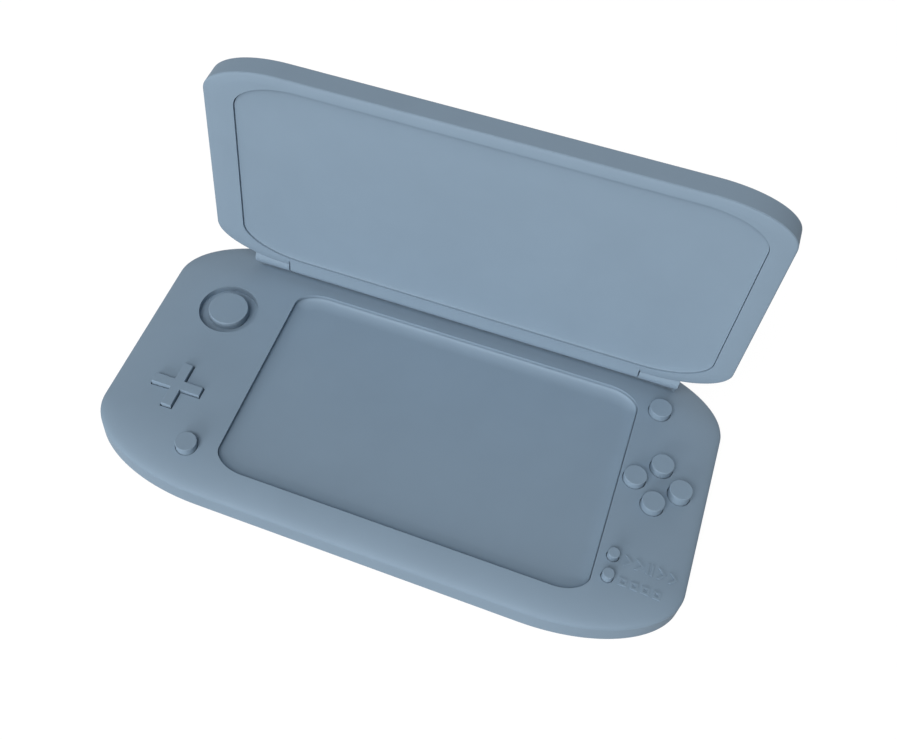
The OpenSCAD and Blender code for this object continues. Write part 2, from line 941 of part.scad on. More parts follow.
module home_button() {
    button(buttons[5]);
}

module start_button() {
    button(buttons[6]);
}

module select_button() {
    button(buttons[7]);
}

// ---- Direction pad ----

module pad_pivot() {
    color(inner_grey)
        intersection() {
            translate([pad_x, pad_y, pad_flange_z - 0.1 - pad_pivot_r])
                sphere(r = pad_pivot_r);
            translate([pad_x, pad_y, side_board_top])
                cylinder(r = 2 * pad_pivot_r, h = 3 * pad_pivot_r);
        }
}

module pad_mat() {
    half = pad_reach + 0.5;
    color("#4a4d52")
        difference() {
            union() {
                span([pad_x - half, pad_y - half, side_board_top],
                     [pad_x + half, pad_y + half, side_board_top + pad_mat_t]);
                for (a = [0:90:270])
                    translate([pad_x + 6.2 * cos(a), pad_y + 6.2 * sin(a), side_board_top])
                        cylinder(r = 1.5, h = pad_mat_t + 0.4);
            }
            translate([pad_x, pad_y, 0])
                cylinder(r = rocker_r + moving_gap, h = deck_z);
        }
}

module pad_rocker() {
    color(inner_grey)
        translate([pad_x, pad_y, rocker_z])
            difference() {
                cylinder(r = rocker_r, h = rocker_t);
                translate([0, 0, -1])
                    cylinder(r = pad_pivot_r + moving_gap + 0.1, h = rocker_t + 2);
            }
}

module direction_pad() {
    color(case_blue) {
        plus(pad_reach, pad_arm_w, pad_flange_z, pad_top_z - pad_flange_z);
        plus(pad_reach + pad_flange_out, pad_arm_w + 2 * pad_flange_out, pad_flange_z, pad_flange_t);
    }
}

// ---- Thumb stick ----

module centred_box(x, y, z, w, d, h) {
    translate([x - w / 2, y - d / 2, z])
        cube([w, d, h]);
}

module stick_tray() {
    color(inner_grey)
        difference() {
            centred_box(stick_x, stick_y, tray_floor_z, tray_size, tray_size, tray_top_z - tray_floor_z);
            centred_box(stick_x, stick_y, tray_floor_z + tray_floor_t, tray_in, tray_in, deck_z);
        }
}

module stick_carriage() {
    color("#e8e8e4")
        difference() {
            centred_box(stick_x, stick_y, slide_z, carriage_x, carriage_y, slide_t);
            centred_box(stick_x, stick_y, 0, slider_w + 2 * moving_gap, carriage_y - 2 * frame_bar,
                deck_z);
        }
}

module stick_slider() {
    color(inner_grey) {
        centred_box(stick_x, stick_y, slide_z, slider_w, slider_y, slide_t);
        at([stick_x, stick_y], slide_z)
            cylinder(r = stem_r, h = stem_top_z - slide_z);
    }
}

module stick_cap() {
    color(case_blue)
        at([stick_x, stick_y], cap_z)
            difference() {
                cylinder(r = cap_r, h = cap_top_z - cap_z, $fn = 96);
                translate([0, 0, -1])
                    cylinder(r = stem_r, h = stem_top_z - cap_z + 1);
            }
}

// ---- Hinge ----

module hinge_pins() {
    color(steel)
        for (x = [hinge_left + knuckle_len - pin_in_knuckle,
                  hinge_right - knuckle_len + pin_in_knuckle - pin_len])
            difference() {
                tube_x(x, hinge_y, hinge_z, pin_r, pin_len);
                tube_x(x - 1, hinge_y, hinge_z, pin_bore_r, pin_len + 2);
            }
}

module display_cable() {
    color("#26282b") {
        tube_x(cable_x, cable_y, cable_z, cable_r, connector_x - connector_w / 2 + 2 - cable_x);
        translate([cable_x, cable_y, cable_z]) {
            sphere(r = cable_r);
            cylinder(r = cable_r, h = hinge_z - cable_z);
        }
        translate([cable_x, cable_y, hinge_z])
            sphere(r = cable_r);
        translate([cable_x, cable_y, hinge_z])
            rotate([90, 0, 0])
                cylinder(r = cable_r, h = cable_y - hinge_y);
        translate([cable_x, hinge_y, hinge_z])
            sphere(r = cable_r);
        tube_x(cable_x, hinge_y, hinge_z, cable_r, cable_end_x - cable_x);
    }
}

// ---- Lid ----

// Lid pieces are drawn flat, inner face up, with the middle of the lid at the origin
module lid_place() {
    translate([lid_x, lid_face_y, lid_mid_z])
        rotate([90, 0, 0])
            children();
}

module knuckle_clearance() {
    for (x = [barrel_left - notch_len, barrel_right]) {
        tube_x(x, hinge_y, hinge_z, knuckle_clear_r, notch_len);
        span([x, hinge_y + 1.4, 0], [x + notch_len, lid_face_y + lid_t + 1, hinge_z + notch_h]);
    }
}

module lid_plate(low, t, inset = 0) {
    translate([0, 0, low])
        oval_plate(lid_w, lid_h, lid_corner_x, lid_corner_y, t, inset);
}

module panel_plate(low, t, inset = 0) {
    translate([panel_x, panel_y, low])
        oval_plate(panel_w, panel_h, panel_corner_x, panel_corner_y, t, inset);
}

module lid_outer_shell() {
    color(case_blue)
        difference() {
            union() {
                lid_place()
                    difference() {
                        lid_plate(-lid_t, lid_t - lid_crown_drop);
                        lid_plate(-lid_t + lid_back_t, lid_t, wall_t);
                    }
                tube_x(barrel_left, hinge_y, hinge_z, barrel_r, barrel_right - barrel_left);
                span([barrel_left, hinge_y - barrel_r, hinge_z],
                     [barrel_right, hinge_y + barrel_r, neck_top_z]);
                lid_place()
                    for (s = [-1, 1])
                        translate([flex_x - lid_x + s * (lid_board_w / 2 - 2), lid_board_y,
                                   -lid_t + lid_back_t - over])
                            cylinder(r = peg_r, h = lid_t - lid_back_t - panel_back
                                - lid_display_t - 0.1 - lid_board_t + over);
            }
            knuckle_clearance();
            tube_x(barrel_left - 1, hinge_y, hinge_z, pin_r + run_gap, barrel_right - barrel_left + 2);
            span([flex_x - flex_w / 2 - 0.4, hinge_y - 0.2, hinge_z],
                 [flex_x + flex_w / 2 + 0.4, hinge_y + 0.9, neck_top_z + 1]);
        }
}

module lid_inner_shell() {
    color(case_blue)
        difference() {
            lid_place()
                difference() {
                    union() {
                        loft(crown_rings(lid_w, lid_h, lid_corner_x, lid_corner_y, lid_crown_x,
                            lid_crown_y, lid_crown_drop, -lid_crown_drop, -lid_crown_drop));
                        lid_plate(-bezel_back, bezel_back - lid_crown_drop, wall_t + case_gap);
                    }
                    panel_plate(-panel_back, lid_t);
                    panel_plate(-lid_t, lid_t * 2, panel_ledge);
                }
            knuckle_clearance();
            span([barrel_left - moving_gap, 0, 0],
                 [barrel_right + moving_gap, lid_face_y + lid_crown_drop + case_gap,
                  neck_top_z + case_gap]);
        }
}

module lid_window() {
    color(case_blue)
        lid_place()
            translate([panel_x, panel_y, 0])
                loft(dish_rings(panel_w - 2 * case_gap, panel_h - 2 * case_gap,
                    panel_corner_x - case_gap, panel_corner_y - case_gap,
                    panel_curve_x, panel_curve_y, -panel_back, -panel_step, -panel_sink));
}

module lid_display() {
    color(inner_grey)
        lid_place()
            translate([panel_x - lid_display_w / 2, panel_y - lid_display_h / 2,
                       -panel_back - lid_display_t])
                cube([lid_display_w, lid_display_h, lid_display_t]);
}

module lid_board() {
    color(board_green)
        lid_place()
            translate([flex_x - lid_x - lid_board_w / 2, lid_board_y - lid_board_h / 2,
                       -panel_back - lid_display_t - 0.1 - lid_board_t])
                cube([lid_board_w, lid_board_h, lid_board_t]);
}

module lid_flex() {
    back = lid_face_y + panel_back + lid_display_t + 0.1;
    color("#c9812e") {
        span([flex_x - flex_w / 2, back - flex_t, hinge_z],
             [flex_x + flex_w / 2, back, lid_mid_z + lid_board_y + lid_board_h / 2]);
    }
}

module lid_magnet() {
    color(steel)
        lid_place()
            translate([0, lid_h / 2 - 6.5, -lid_t + lid_back_t])
                cylinder(r = magnet_r, h = magnet_t);
}

base_upper_shell();
base_lower_shell();
base_window();
base_display();
chassis_plate();
chassis_screws();
main_board();
shield_can();
left_board();
right_board();
board_screws();
battery();
battery_cover();
battery_cover_screw();
case_screws();
rubber_feet();
speakers();
charge_port();
action_button_mat();
menu_button_mat();
option_button_mat();
home_button_mat();
button_north();
button_east();
button_south();
button_west();
menu_button();
home_button();
start_button();
select_button();
pad_mat();
pad_pivot();
pad_rocker();
direction_pad();
stick_tray();
stick_carriage();
stick_slider();
stick_cap();
hinge_pins();
display_cable();
lid_outer_shell();
lid_inner_shell();
lid_window();
lid_display();
lid_board();
lid_flex();
lid_magnet();
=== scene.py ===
import json
import math
from contextlib import contextmanager

import bmesh
import bpy
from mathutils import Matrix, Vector


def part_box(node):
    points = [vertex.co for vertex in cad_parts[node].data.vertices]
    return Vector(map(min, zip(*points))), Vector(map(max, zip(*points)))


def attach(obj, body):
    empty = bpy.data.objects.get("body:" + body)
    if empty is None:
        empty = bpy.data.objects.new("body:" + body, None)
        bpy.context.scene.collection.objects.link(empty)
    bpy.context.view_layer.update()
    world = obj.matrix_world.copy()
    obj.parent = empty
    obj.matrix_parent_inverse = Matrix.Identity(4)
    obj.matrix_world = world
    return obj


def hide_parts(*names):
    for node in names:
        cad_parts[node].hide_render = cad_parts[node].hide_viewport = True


# A clamshell handheld console: the looks of its pieces. They are modelled in millimetres where the
# CAD model has them (X right, Y back, Z up from the table) and shrunk to metres when finished.

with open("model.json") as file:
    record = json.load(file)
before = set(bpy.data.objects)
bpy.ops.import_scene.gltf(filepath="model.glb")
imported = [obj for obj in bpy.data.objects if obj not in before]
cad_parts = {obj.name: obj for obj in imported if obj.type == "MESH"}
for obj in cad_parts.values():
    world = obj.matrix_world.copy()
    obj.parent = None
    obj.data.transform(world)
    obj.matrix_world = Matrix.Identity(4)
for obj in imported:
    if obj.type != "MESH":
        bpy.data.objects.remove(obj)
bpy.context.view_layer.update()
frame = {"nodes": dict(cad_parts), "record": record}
MM = 0.001


def box_mm(node):
    """Lowest and highest corner of a CAD node, in millimetres."""
    low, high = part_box(node)
    return low / MM, high / MM


# ---- Driving sizes in millimetres ----

# A size, corner or curve is a pair: across along X, and deep along Y (up along Z in the lid)

# Where a cutter starts and ends that goes right through the base, and how far others overshoot
BELOW = -1
ABOVE = 20
PAST = 1

case_low, case_high = box_mm("base_lower_shell")
lens_low, lens_high = box_mm("base_window")
button_low, button_high = box_mm("button_north")
hinge_low, hinge_high = box_mm("hinge_pins")
back_low, back_high = box_mm("lid_outer_shell")
flex_low, flex_high = box_mm("lid_flex")

# Base
BASE_W = case_high.x - case_low.x
BASE_D = case_high.y - case_low.y
BASE_CORNER = (40.5, 21.7)
BASE_ROUND = 0.4
CASE_Z = case_low.z
CREASE_Z = case_high.z
BUTTON_PROUD = 2.0
DECK_Z = button_high.z - BUTTON_PROUD
CROWN = (36.0, 19.4)
WALL = 1.8
FLOOR_Z = CASE_Z + 1.6
TONGUE_H = 1.5
TONGUE_T = 1.0
CASE_GAP = 0.15
MOVING_GAP = 0.3
PARTING = 0.12
LIP = 0.18

# The rim is lofted this far round its quarter ellipse. The flat inside it is cut into strips, a
# little off the middle so that no cut runs through a corner, and then lifted into its crown
RIM_TURN = 25.8
STRIP_PITCH = (2.0, 1.5)
STRIP_SHIFT = 0.013

# Screen
SCREEN_AT = ((lens_low.x + lens_high.x) / 2, (lens_low.y + lens_high.y) / 2)
SCREEN_SIZE = (112.3, 70.8)
SCREEN_CORNER = (9.8, 6.2)
SCREEN_CURVE = (4.6, 4.6)
SCREEN_EDGE_Z = DECK_Z - 1.1
SCREEN_FLOOR_Z = DECK_Z - 2.6
WINDOW_Z = lens_low.z
LEDGE = 4.2
BLOCK_WALL = 1.6
PLATE_Z = 6.1
HOLLOW_FROM_Z = 3

# Controls
BUTTON_GAP = 0.2
BUTTON_BASE_Z = button_low.z
LUG = (3.0, 1.1, 0.8)
COLLAR_Z = BUTTON_BASE_Z + LUG[2] + BUTTON_GAP
COLLAR_WALL = 1.4
BOARD_TOP = 5.6
LUG_ROOF_Z = COLLAR_Z - 0.05
HOLLOW_SHARE = 0.6
HOLLOW_Z = button_high.z - 3.4
KEY_ROUND = 0.22
PAD_GAP = 0.4
PAD_ARM = 3.25
PAD_FLANGE = (1.2, 0.9)
PAD_POCKET_GAP = 0.8
PAD_ROOF_Z = 9.0
PAD_ROUND = 0.2
WELL_R = 9.6
WELL_Z = 7.9
WELL_WALL = 1.2
WELL_FLOOR = 1
STEM_R = 1.4
STEM_HOLE_R = 3.96
CAP_TOP_T = 1.2
CAP_ROUND = 0.3

# Raised marks: their size, their pitch, and the steps of the pitch at which each kind stands
MARK_TOP = 0.3
MARK_SIZE = 3.2
MARK_PITCH = 3.2
MARK_STROKE = 0.6
MARK_SQUARE = 2.2
MARK_GAP = 1.6
FORWARD_STEPS = (0, 1, 3, 4)
PAUSE_STEPS = (2, 2.4)
FRAME_STEPS = (0, 1, 2, 3)

# Hinge
HINGE_Y = (hinge_low.y + hinge_high.y) / 2
HINGE_Z = (hinge_low.z + hinge_high.z) / 2
PIN_R = 1.5
PIN_IN_KNUCKLE = 6.5
BARREL_R = 3.5
BARREL_ROUND = 0.2
KNUCKLE = 12.0
KNUCKLE_ROUND = 0.25
KNUCKLE_ROOM = 42
LID_X = 4.0
HINGE_HALF = 69.3
KNUCKLE_LEFT = LID_X - HINGE_HALF
KNUCKLE_RIGHT = LID_X + HINGE_HALF
BARREL_LEFT = KNUCKLE_LEFT + KNUCKLE + MOVING_GAP
BARREL_RIGHT = KNUCKLE_RIGHT - KNUCKLE - MOVING_GAP
WEB_FRONT = HINGE_Y + 0.2
WEB_BACK = HINGE_Y + BARREL_R
WEB_ROOT_Z = DECK_Z - 1.8
WEB_ROOM = (1.4, 3.2)
SADDLE_Z = HINGE_Z - BARREL_R - 0.4
NECK_Z = 20.6
CHAMBER_R = 2.3
CHAMBER_LENGTH = 4
CABLE_WAY_R = 0.75
CABLE_BACK = 1.6
TURN_GAP = 0.05
FLEX_GAP = 0.4
FLEX_WAY_YS = (-0.2, 0.9)

# Lid, drawn flat with its inner face up before it is stood on its hinge
LID_SIZE = (back_high.x - back_low.x, 75.8)
LID_T = 7.5
LID_FACE_Y = HINGE_Y - BARREL_R - 0.3
LID_MID_Z = back_high.z - LID_SIZE[1] / 2
LID_CORNER = (23.6, 10.9)
LID_CROWN = (9.0, 5.0)
LID_CROWN_DROP = 0.6
LID_BACK_T = 1.6
LID_ROUND = 0.6
LID_PAST = 9
PEG_XS = (-36.0, -10.0)
PEG_R = 1
PEG_UP = 6
PEG_TOP = -4.9
BEZEL_BACK = 3.5
BEZEL_TURN = 65
BEZEL_ROUND = 0.12
PANEL_AT = (1.65, -0.2)
PANEL_SIZE = (148.4, 69.1)
PANEL_CORNER = (19.5, 10.4)
PANEL_CURVE = (15.0, 7.0)
PANEL_EDGE = -0.55
PANEL_FLAT = -1.15
PANEL_BACK = -2.4
PANEL_LEDGE = 3.0
PANEL_LAND = 0.06

# Case posts, rooted this deep in the floor, and screws. A head is its height over the table and
# its thickness
POSTS = ((-64, 34.5), (-83.5, -1), (-71, -32), (79, -33), (83.5, -12), (80.5, 27), (-20, 43))
POST_R = 2.6
POST_SPLIT_Z = 5.4
ROOT = 0.5
SCREW_R = 0.95
SCREW_HOLE_R = 1.1
PILOT_DEPTH = 2.2
HEAD_R = 1.9
HEAD_ROUND = 0.18
HEAD_HOLE_Z = CASE_Z + 1.5
CASE_HEAD = (CASE_Z + 0.4, 1.1)
CASE_TIP_Z = POST_SPLIT_Z + 1.8
DRIVER_SLOT = (1.1, 0.22)
DRIVER_SHARE = 0.6

# Standoffs of the boards, each with its place and its top, feet and sound slots
STANDOFF_R = 2
BOARD_HOLE_R = 0.7
STANDOFFS = (
    (37, -30, 3.6),
    (61, 24, 3.6),
    (-79.5, -6, 4.6),
    (-56, -6, 4.6),
    (70, -14, 4.6),
    (84, 18, 4.6),
)
FEET = ((-56, -38), (56, -38), (-56, 38), (56, 38))
FOOT_R = 5
FOOT_SEAT_Z = CASE_Z + 0.6
FOOT_ROUND = 0.3
SPEAKERS = ((-58, -28), (74, -22))
SLOT_SIZE = (8, 1.2)
SLOT_PITCH = 2.4
SLOT_ROUND = 0.55

# Battery door, with its ear and grip lines
BATTERY_AT = (-8, -4)
COVER_SIZE = (76, 56)
COVER_STEP = 2
COVER_T = 1
COVER_ROUND = 0.2
EAR_AT = (-8, -33.5)
EAR_R = 5
EAR_BOSS_R = 3
EAR_BOSS_Z = CASE_Z + 4
EAR_PILOT_Z = CASE_Z + 3.9
EAR_HEAD = (CASE_Z + 0.05, 0.55)
EAR_HEAD_HOLE_Z = CASE_Z + 0.6
EAR_TIP_Z = CASE_Z + 3.65
GRIPS = 5
GRIP_R = 0.35
GRIP_HALF = 9
GRIP_FROM = 4.5
GRIP_PITCH = 1.6

# Charging socket
PORT_AT = (49, 47.6, 4.5)
PORT_SIZE = (9, 3.2, 8)
PORT_WALL = 0.35
PORT_BACK_T = 1.5
TONGUE_HALF = (3.2, 0.35)
PORT_ROUND = 0.1
TONGUE_SET_IN = 1.2
TONGUE_ROUND = 0.15


# ---- Hands: selecting, adding and combining ----


def clear():
    bpy.ops.object.select_all(action="DESELECT")


def only(piece):
    clear()
    piece.select_set(True)
    bpy.context.view_layer.objects.active = piece


@contextmanager
def editing(piece, kind="FACE"):
    """Edit mode on one piece, with nothing selected to start with."""
    only(piece)
    bpy.ops.object.mode_set(mode="EDIT")
    bpy.ops.mesh.select_mode(type=kind)
    bpy.ops.mesh.select_all(action="DESELECT")
    try:
        yield piece
    finally:
        bpy.ops.object.mode_set(mode="OBJECT")


def pick(piece, kind, test):
    """Selects the faces, edges or vertices that pass the test, and says how many there are."""
    mesh = bmesh.from_edit_mesh(piece.data)
    mesh.normal_update()
    found = [part for part in getattr(mesh, kind) if test(part)]
    for part in found:
        part.select_set(True)
    mesh.select_flush_mode()
    bmesh.update_edit_mesh(piece.data)
    return len(found)


def added(name):
    piece = bpy.context.object
    piece.name = name
    bpy.ops.object.transform_apply(location=True, rotation=True, scale=True)
    return piece


def rod(name, radius, start, end, sides=72):
    """A round bar between two points that lie along one axis."""
    start, end = Vector(start), Vector(end)
    along = end - start
    turn = along.to_track_quat("Z", "Y").to_euler()
    clear()
    bpy.ops.mesh.primitive_cylinder_add(
        vertices=sides, radius=radius, depth=along.length, location=(start + end) / 2, rotation=turn
    )
    return added(name)


def post(name, radius, at, low, high, sides=72):
    return rod(name, radius, (at[0], at[1], low), (at[0], at[1], high), sides)


def along_hinge(name, radius, start_x, end_x, sides=72):
    """A round bar on the hinge's axis."""
    return rod(name, radius, (start_x, HINGE_Y, HINGE_Z), (end_x, HINGE_Y, HINGE_Z), sides)


def block(name, low, high):
    low, high = Vector(low), Vector(high)
    clear()
    bpy.ops.mesh.primitive_cube_add(size=1, location=(low + high) / 2, scale=high - low)
    return added(name)


def centred(name, at, half_x, half_y, low, high):
    """A block whose middle stands over a place."""
    x, y = at
    return block(name, (x - half_x, y - half_y, low), (x + half_x, y + half_y, high))


def joined(name, parts):
    """Several closed bodies as one object."""
    only(parts[0])
    for part in parts:
        part.select_set(True)
    bpy.ops.object.join()
    parts[0].name = name
    return parts[0]


def copied(piece, name, shift=(0, 0, 0)):
    """A copy with its own mesh, moved by a shift."""
    only(piece)
    bpy.ops.object.duplicate()
    twin = bpy.context.object
    twin.location = shift
    return added(name)


def combine(piece, tools, how):
    """Cuts the tools out of the piece, or adds them to it."""
    for tool in tools if isinstance(tools, list) else [tools]:
        only(piece)
        step = piece.modifiers.new(how.lower(), "BOOLEAN")
        step.operation = how
        step.solver = "EXACT"
        step.object = tool
        bpy.ops.object.modifier_apply(modifier=step.name)
        bpy.data.objects.remove(tool)
    return piece


def cut(piece, tools):
    return combine(piece, tools, "DIFFERENCE")


def add(piece, tools):
    return combine(piece, tools, "UNION")


def outline(size, corner, steps):
    """Points round a rectangle whose corners are quarter ellipses."""
    points = []
    for quarter in range(4):
        side = 1 if quarter in (0, 3) else -1
        end = 1 if quarter < 2 else -1
        for step in range(steps + 1):
            turn = math.radians(90 * (quarter + step / steps))
            points.append(
                (
                    side * (size[0] / 2 - corner[0]) + corner[0] * math.cos(turn),
                    end * (size[1] / 2 - corner[1]) + corner[1] * math.sin(turn),
                )
            )
    return points


def nearest(places, point):
    """Which of the places is closest to a point, seen from above."""

    def away(number):
        x, y = places[number]
        return (x - point.x) ** 2 + (y - point.y) ** 2

    return min(range(len(places)), key=away)


def loft(name, size, corner, rings, at=(0, 0), steps=24):
    """A round-cornered body, extruded ring by ring. Each ring is its two insets and its height."""
    clear()
    bpy.ops.mesh.primitive_circle_add(vertices=4 * (steps + 1), radius=1, fill_type="NGON")
    piece = added(name)

    def ring_points(ring):
        in_x, in_y, _ = ring
        inner = (size[0] - 2 * in_x, size[1] - 2 * in_y)
        return outline(inner, (corner[0] - in_x, corner[1] - in_y), steps)

    places = ring_points(rings[0])
    for vertex, (x, y) in zip(piece.data.vertices, places):
        vertex.co = (x, y, rings[0][2])
    with editing(piece):
        bpy.ops.mesh.select_all(action="SELECT")
        for ring in rings[1:]:
            bpy.ops.mesh.extrude_region_move()
            mesh = bmesh.from_edit_mesh(piece.data)
            moved = ring_points(ring)
            for vertex in mesh.verts:
                if vertex.select:
                    x, y = moved[nearest(places, vertex.co)]
                    vertex.co = (x, y, ring[2])
            bmesh.update_edit_mesh(piece.data)
            places = moved
        bpy.ops.mesh.select_all(action="SELECT")
        bpy.ops.transform.translate(value=(at[0], at[1], 0))
        bpy.ops.mesh.normals_make_consistent(inside=False)
    return piece


def plate(name, size, corner, low, high, at=(0, 0), inset=0.0):
    return loft(name, size, corner, [(inset, inset, low), (inset, inset, high)], at)


def arc(steps, start=0.0, end=90.0):
    return [math.radians(start + (end - start) * i / steps) for i in range(steps + 1)]


def crown_rings(reach, drop, crease, start=0.0, end=90.0, steps=12, inset=0.0):
    """Rings of an elliptical crown over its crease."""
    return [
        (
            inset + reach[0] * (1 - math.cos(a)),
            inset + reach[1] * (1 - math.cos(a)),
            crease + drop * math.sin(a),
        )
        for a in arc(steps, start, end)
    ]


def dish_rings(reach, edge, flat, low, land=0.1, steps=12):
    """Rings of a tray: its underside, outer wall and rim, and the hollow curve down to its flat."""
    rim = [(land, land, low), (0, 0, low + land), (0, 0, edge - land), (land / 3, land / 3, edge)]
    hollow = [
        (
            land + (reach[0] - land) * (1 - math.cos(a)),
            land + (reach[1] - land) * (1 - math.cos(a)),
            edge - (edge - flat) * math.sin(a),
        )
        for a in arc(steps)
    ]
    return rim + hollow


def round_rings(radius, low, steps):
    """Rings of a rounded lower edge."""
    return [
        (radius * (1 - math.sin(a)), radius * (1 - math.sin(a)), low + radius * (1 - math.cos(a)))
        for a in arc(steps)
    ]


def round_edges(piece, test, width, segments=3):
    """Rounds the edges that pass the test."""
    with editing(piece, "EDGE"):
        if pick(piece, "edges", test):
            bpy.ops.mesh.bevel(offset=width, segments=segments, affect="EDGES", clamp_overlap=True)


def level(edge, z, axis=2):
    """Whether an edge lies at a height, or at a place on another axis."""
    return all(abs(v.co[axis] - z) < 0.01 for v in edge.verts)


def upright(edge):
    """Whether an edge runs up and down."""
    low, high = sorted(v.co.z for v in edge.verts)
    return high - low > 1


def sharp(edge, degrees=50):
    return len(edge.link_faces) == 2 and edge.calc_face_angle(0) > math.radians(degrees)


def smooth(piece, angle=35):
    """Smooth shading that keeps flats flat and edges crisp."""
    only(piece)
    bpy.ops.object.shade_smooth_by_angle(angle=math.radians(angle))
    step = piece.modifiers.new("flats", "WEIGHTED_NORMAL")
    step.keep_sharp = True
    bpy.ops.object.modifier_apply(modifier=step.name)


def finished(piece, body, slot, replaced=(), shine=None):
    """Shrinks a piece to metres, gives it its slot's finish and lets it ride on its body."""
    with editing(piece):
        bpy.ops.mesh.select_all(action="SELECT")
        bpy.ops.mesh.remove_doubles(threshold=0.002)
        bpy.ops.mesh.delete_loose()
    smooth(piece)
    if shine:
        shine(piece)
    piece.scale = (MM, MM, MM)
    bpy.ops.object.transform_apply(location=True, rotation=True, scale=True)
    piece.data.materials.clear()
    piece.data.materials.append(FINISHES[slot])
    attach(piece, body)
    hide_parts(*replaced)
    return piece


# ---- Finishes ----

CASE_BLUE = "#7f92a3"
TONE_MM = 14
GLOSS_SPREAD = 0.04


def linear(colour):
    """An sRGB hex colour as linear red, green, blue and alpha."""
    parts = [int(colour[i : i + 2], 16) / 255 for i in (1, 3, 5)]
    return [p / 12.92 if p <= 0.04045 else ((p + 0.055) / 1.055) ** 2.4 for p in parts] + [1.0]


def new_finish(name):
    finish = bpy.data.materials.new(name)
    finish.use_nodes = True
    return finish, finish.node_tree, finish.node_tree.nodes["Principled BSDF"]


def node(tree, kind, settings=None, **links):
    """Adds a node, sets its properties and sockets, and links its inputs by name."""
    made = tree.nodes.new(kind)
    for key, value in (settings or {}).items():
        if hasattr(made, key):
            setattr(made, key, value)
        else:
            made.inputs[key].default_value = value
    for key, source in links.items():
        tree.links.new(source, made.inputs[key.replace("_", " ")])
    return made


def noise(tree, size_mm, detail):
    """Cloudy noise whose patches are of a given size."""
    place = node(tree, "ShaderNodeTexCoord").outputs["Object"]
    settings = {"Scale": 1 / (size_mm * MM), "Detail": detail}
    return node(tree, "ShaderNodeTexNoise", settings, Vector=place).outputs["Fac"]


def spread(tree, source, middle, reach):
    """Noise stretched to either side of a middle value."""
    ends = {"From Min": 0.3, "From Max": 0.7, "To Min": middle - reach, "To Max": middle + reach}
    return node(tree, "ShaderNodeMapRange", ends, Value=source).outputs["Result"]


def grained(
    name, colour, roughness, grain_mm, depth_mm, ior=1.54, drift=0.015, metallic=0.0, specular=0.5
):
    """A moulded or coated surface: a fine grain, and a faint drift of tone across the piece."""
    finish, tree, shader = new_finish(name)
    grain = noise(tree, grain_mm, detail=3.0)
    shade = spread(tree, noise(tree, TONE_MM, detail=2.0), 1, drift)
    tint = node(tree, "ShaderNodeVectorMath", {"operation": "SCALE"}, Scale=shade)
    tint.inputs[0].default_value = linear(colour)[:3]
    gloss = spread(tree, grain, roughness, GLOSS_SPREAD)
    settings = {"Strength": 0.6, "Distance": depth_mm * MM}
    bump = node(tree, "ShaderNodeBump", settings, Height=grain)
    tree.links.new(tint.outputs["Vector"], shader.inputs["Base Color"])
    tree.links.new(gloss, shader.inputs["Roughness"])
    tree.links.new(bump.outputs["Normal"], shader.inputs["Normal"])
    if metallic:
        shader.inputs["Metallic"].default_value = metallic
    else:
        shader.inputs["IOR"].default_value = ior
        shader.inputs["Specular IOR Level"].default_value = specular
    return finish


# One finish for each material slot: its colour, roughness, and grain's size and depth in mm
FINISHES = {
    # ABS, moulded in a spark-eroded tool: an even blue-grey, a soft sheen and a fine sandy grain
    "case": grained("abs_spark_eroded_blue", CASE_BLUE, 0.62, 0.35, 0.012, specular=0.12),
    # Acrylic, back-printed in the case colour: smooth, with a satin hard coat
    "window": grained("acrylic_satin_lens", CASE_BLUE, 0.5, 1.2, 0.002, ior=1.49, specular=0.12),
    # ABS from a vapour-honed tool: the same blue-grey, a little smoother under the thumb
    "button": grained("abs_honed_blue", CASE_BLUE, 0.55, 0.5, 0.006, specular=0.12),
    # Glass-filled nylon: charcoal, slightly streaked
    "inner_plastic": grained(
        "glass_filled_nylon_charcoal", "#33373c", 0.6, 0.5, 0.01, ior=1.53, drift=0.08
    ),
    # Acetal slides: a slippery off-white
    "light_plastic": grained("acetal_white", "#dcdcd6", 0.4, 0.8, 0.004, ior=1.48),
    # Silicone keypad: dull, slightly dusty dark grey
    "silicone": grained("silicone_keypad_grey", "#494c50", 0.75, 0.4, 0.01, ior=1.41),
    # Nitrile rubber: near black, dull, faintly mottled
    "rubber": grained("nitrile_rubber_black", "#26282b", 0.8, 0.3, 0.02, ior=1.52),
    # Solder mask over copper: green with a soft gloss
    "board": grained("solder_mask_green", "#1f5a3d", 0.35, 0.6, 0.004, ior=1.5, drift=0.1),
    # Zinc-plated steel: bright grey with a fine rolled grain
    "steel": grained("zinc_plated_steel", "#b9bcbf", 0.32, 0.25, 0.003, metallic=1.0),
    # Display module: black glass
    "display": grained("display_glass_black", "#0d0f11", 0.12, 3.0, 0.0005, ior=1.52),
    # Polyester wrap round the cell: dark and smooth
    "battery": grained("polyester_wrap_dark", "#24272c", 0.45, 1.5, 0.01, ior=1.57),
    # Polyimide film: amber
    "flex": grained("polyimide_amber", "#b36f22", 0.3, 1.0, 0.002, ior=1.7),
}
for subpart in frame["record"]["subparts"]:
    cad_mesh = frame["nodes"][subpart["node"]].data
    cad_mesh.materials.clear()
    cad_mesh.materials.append(FINISHES[subpart["material_slot"]])


# ---- Base: upper case ----


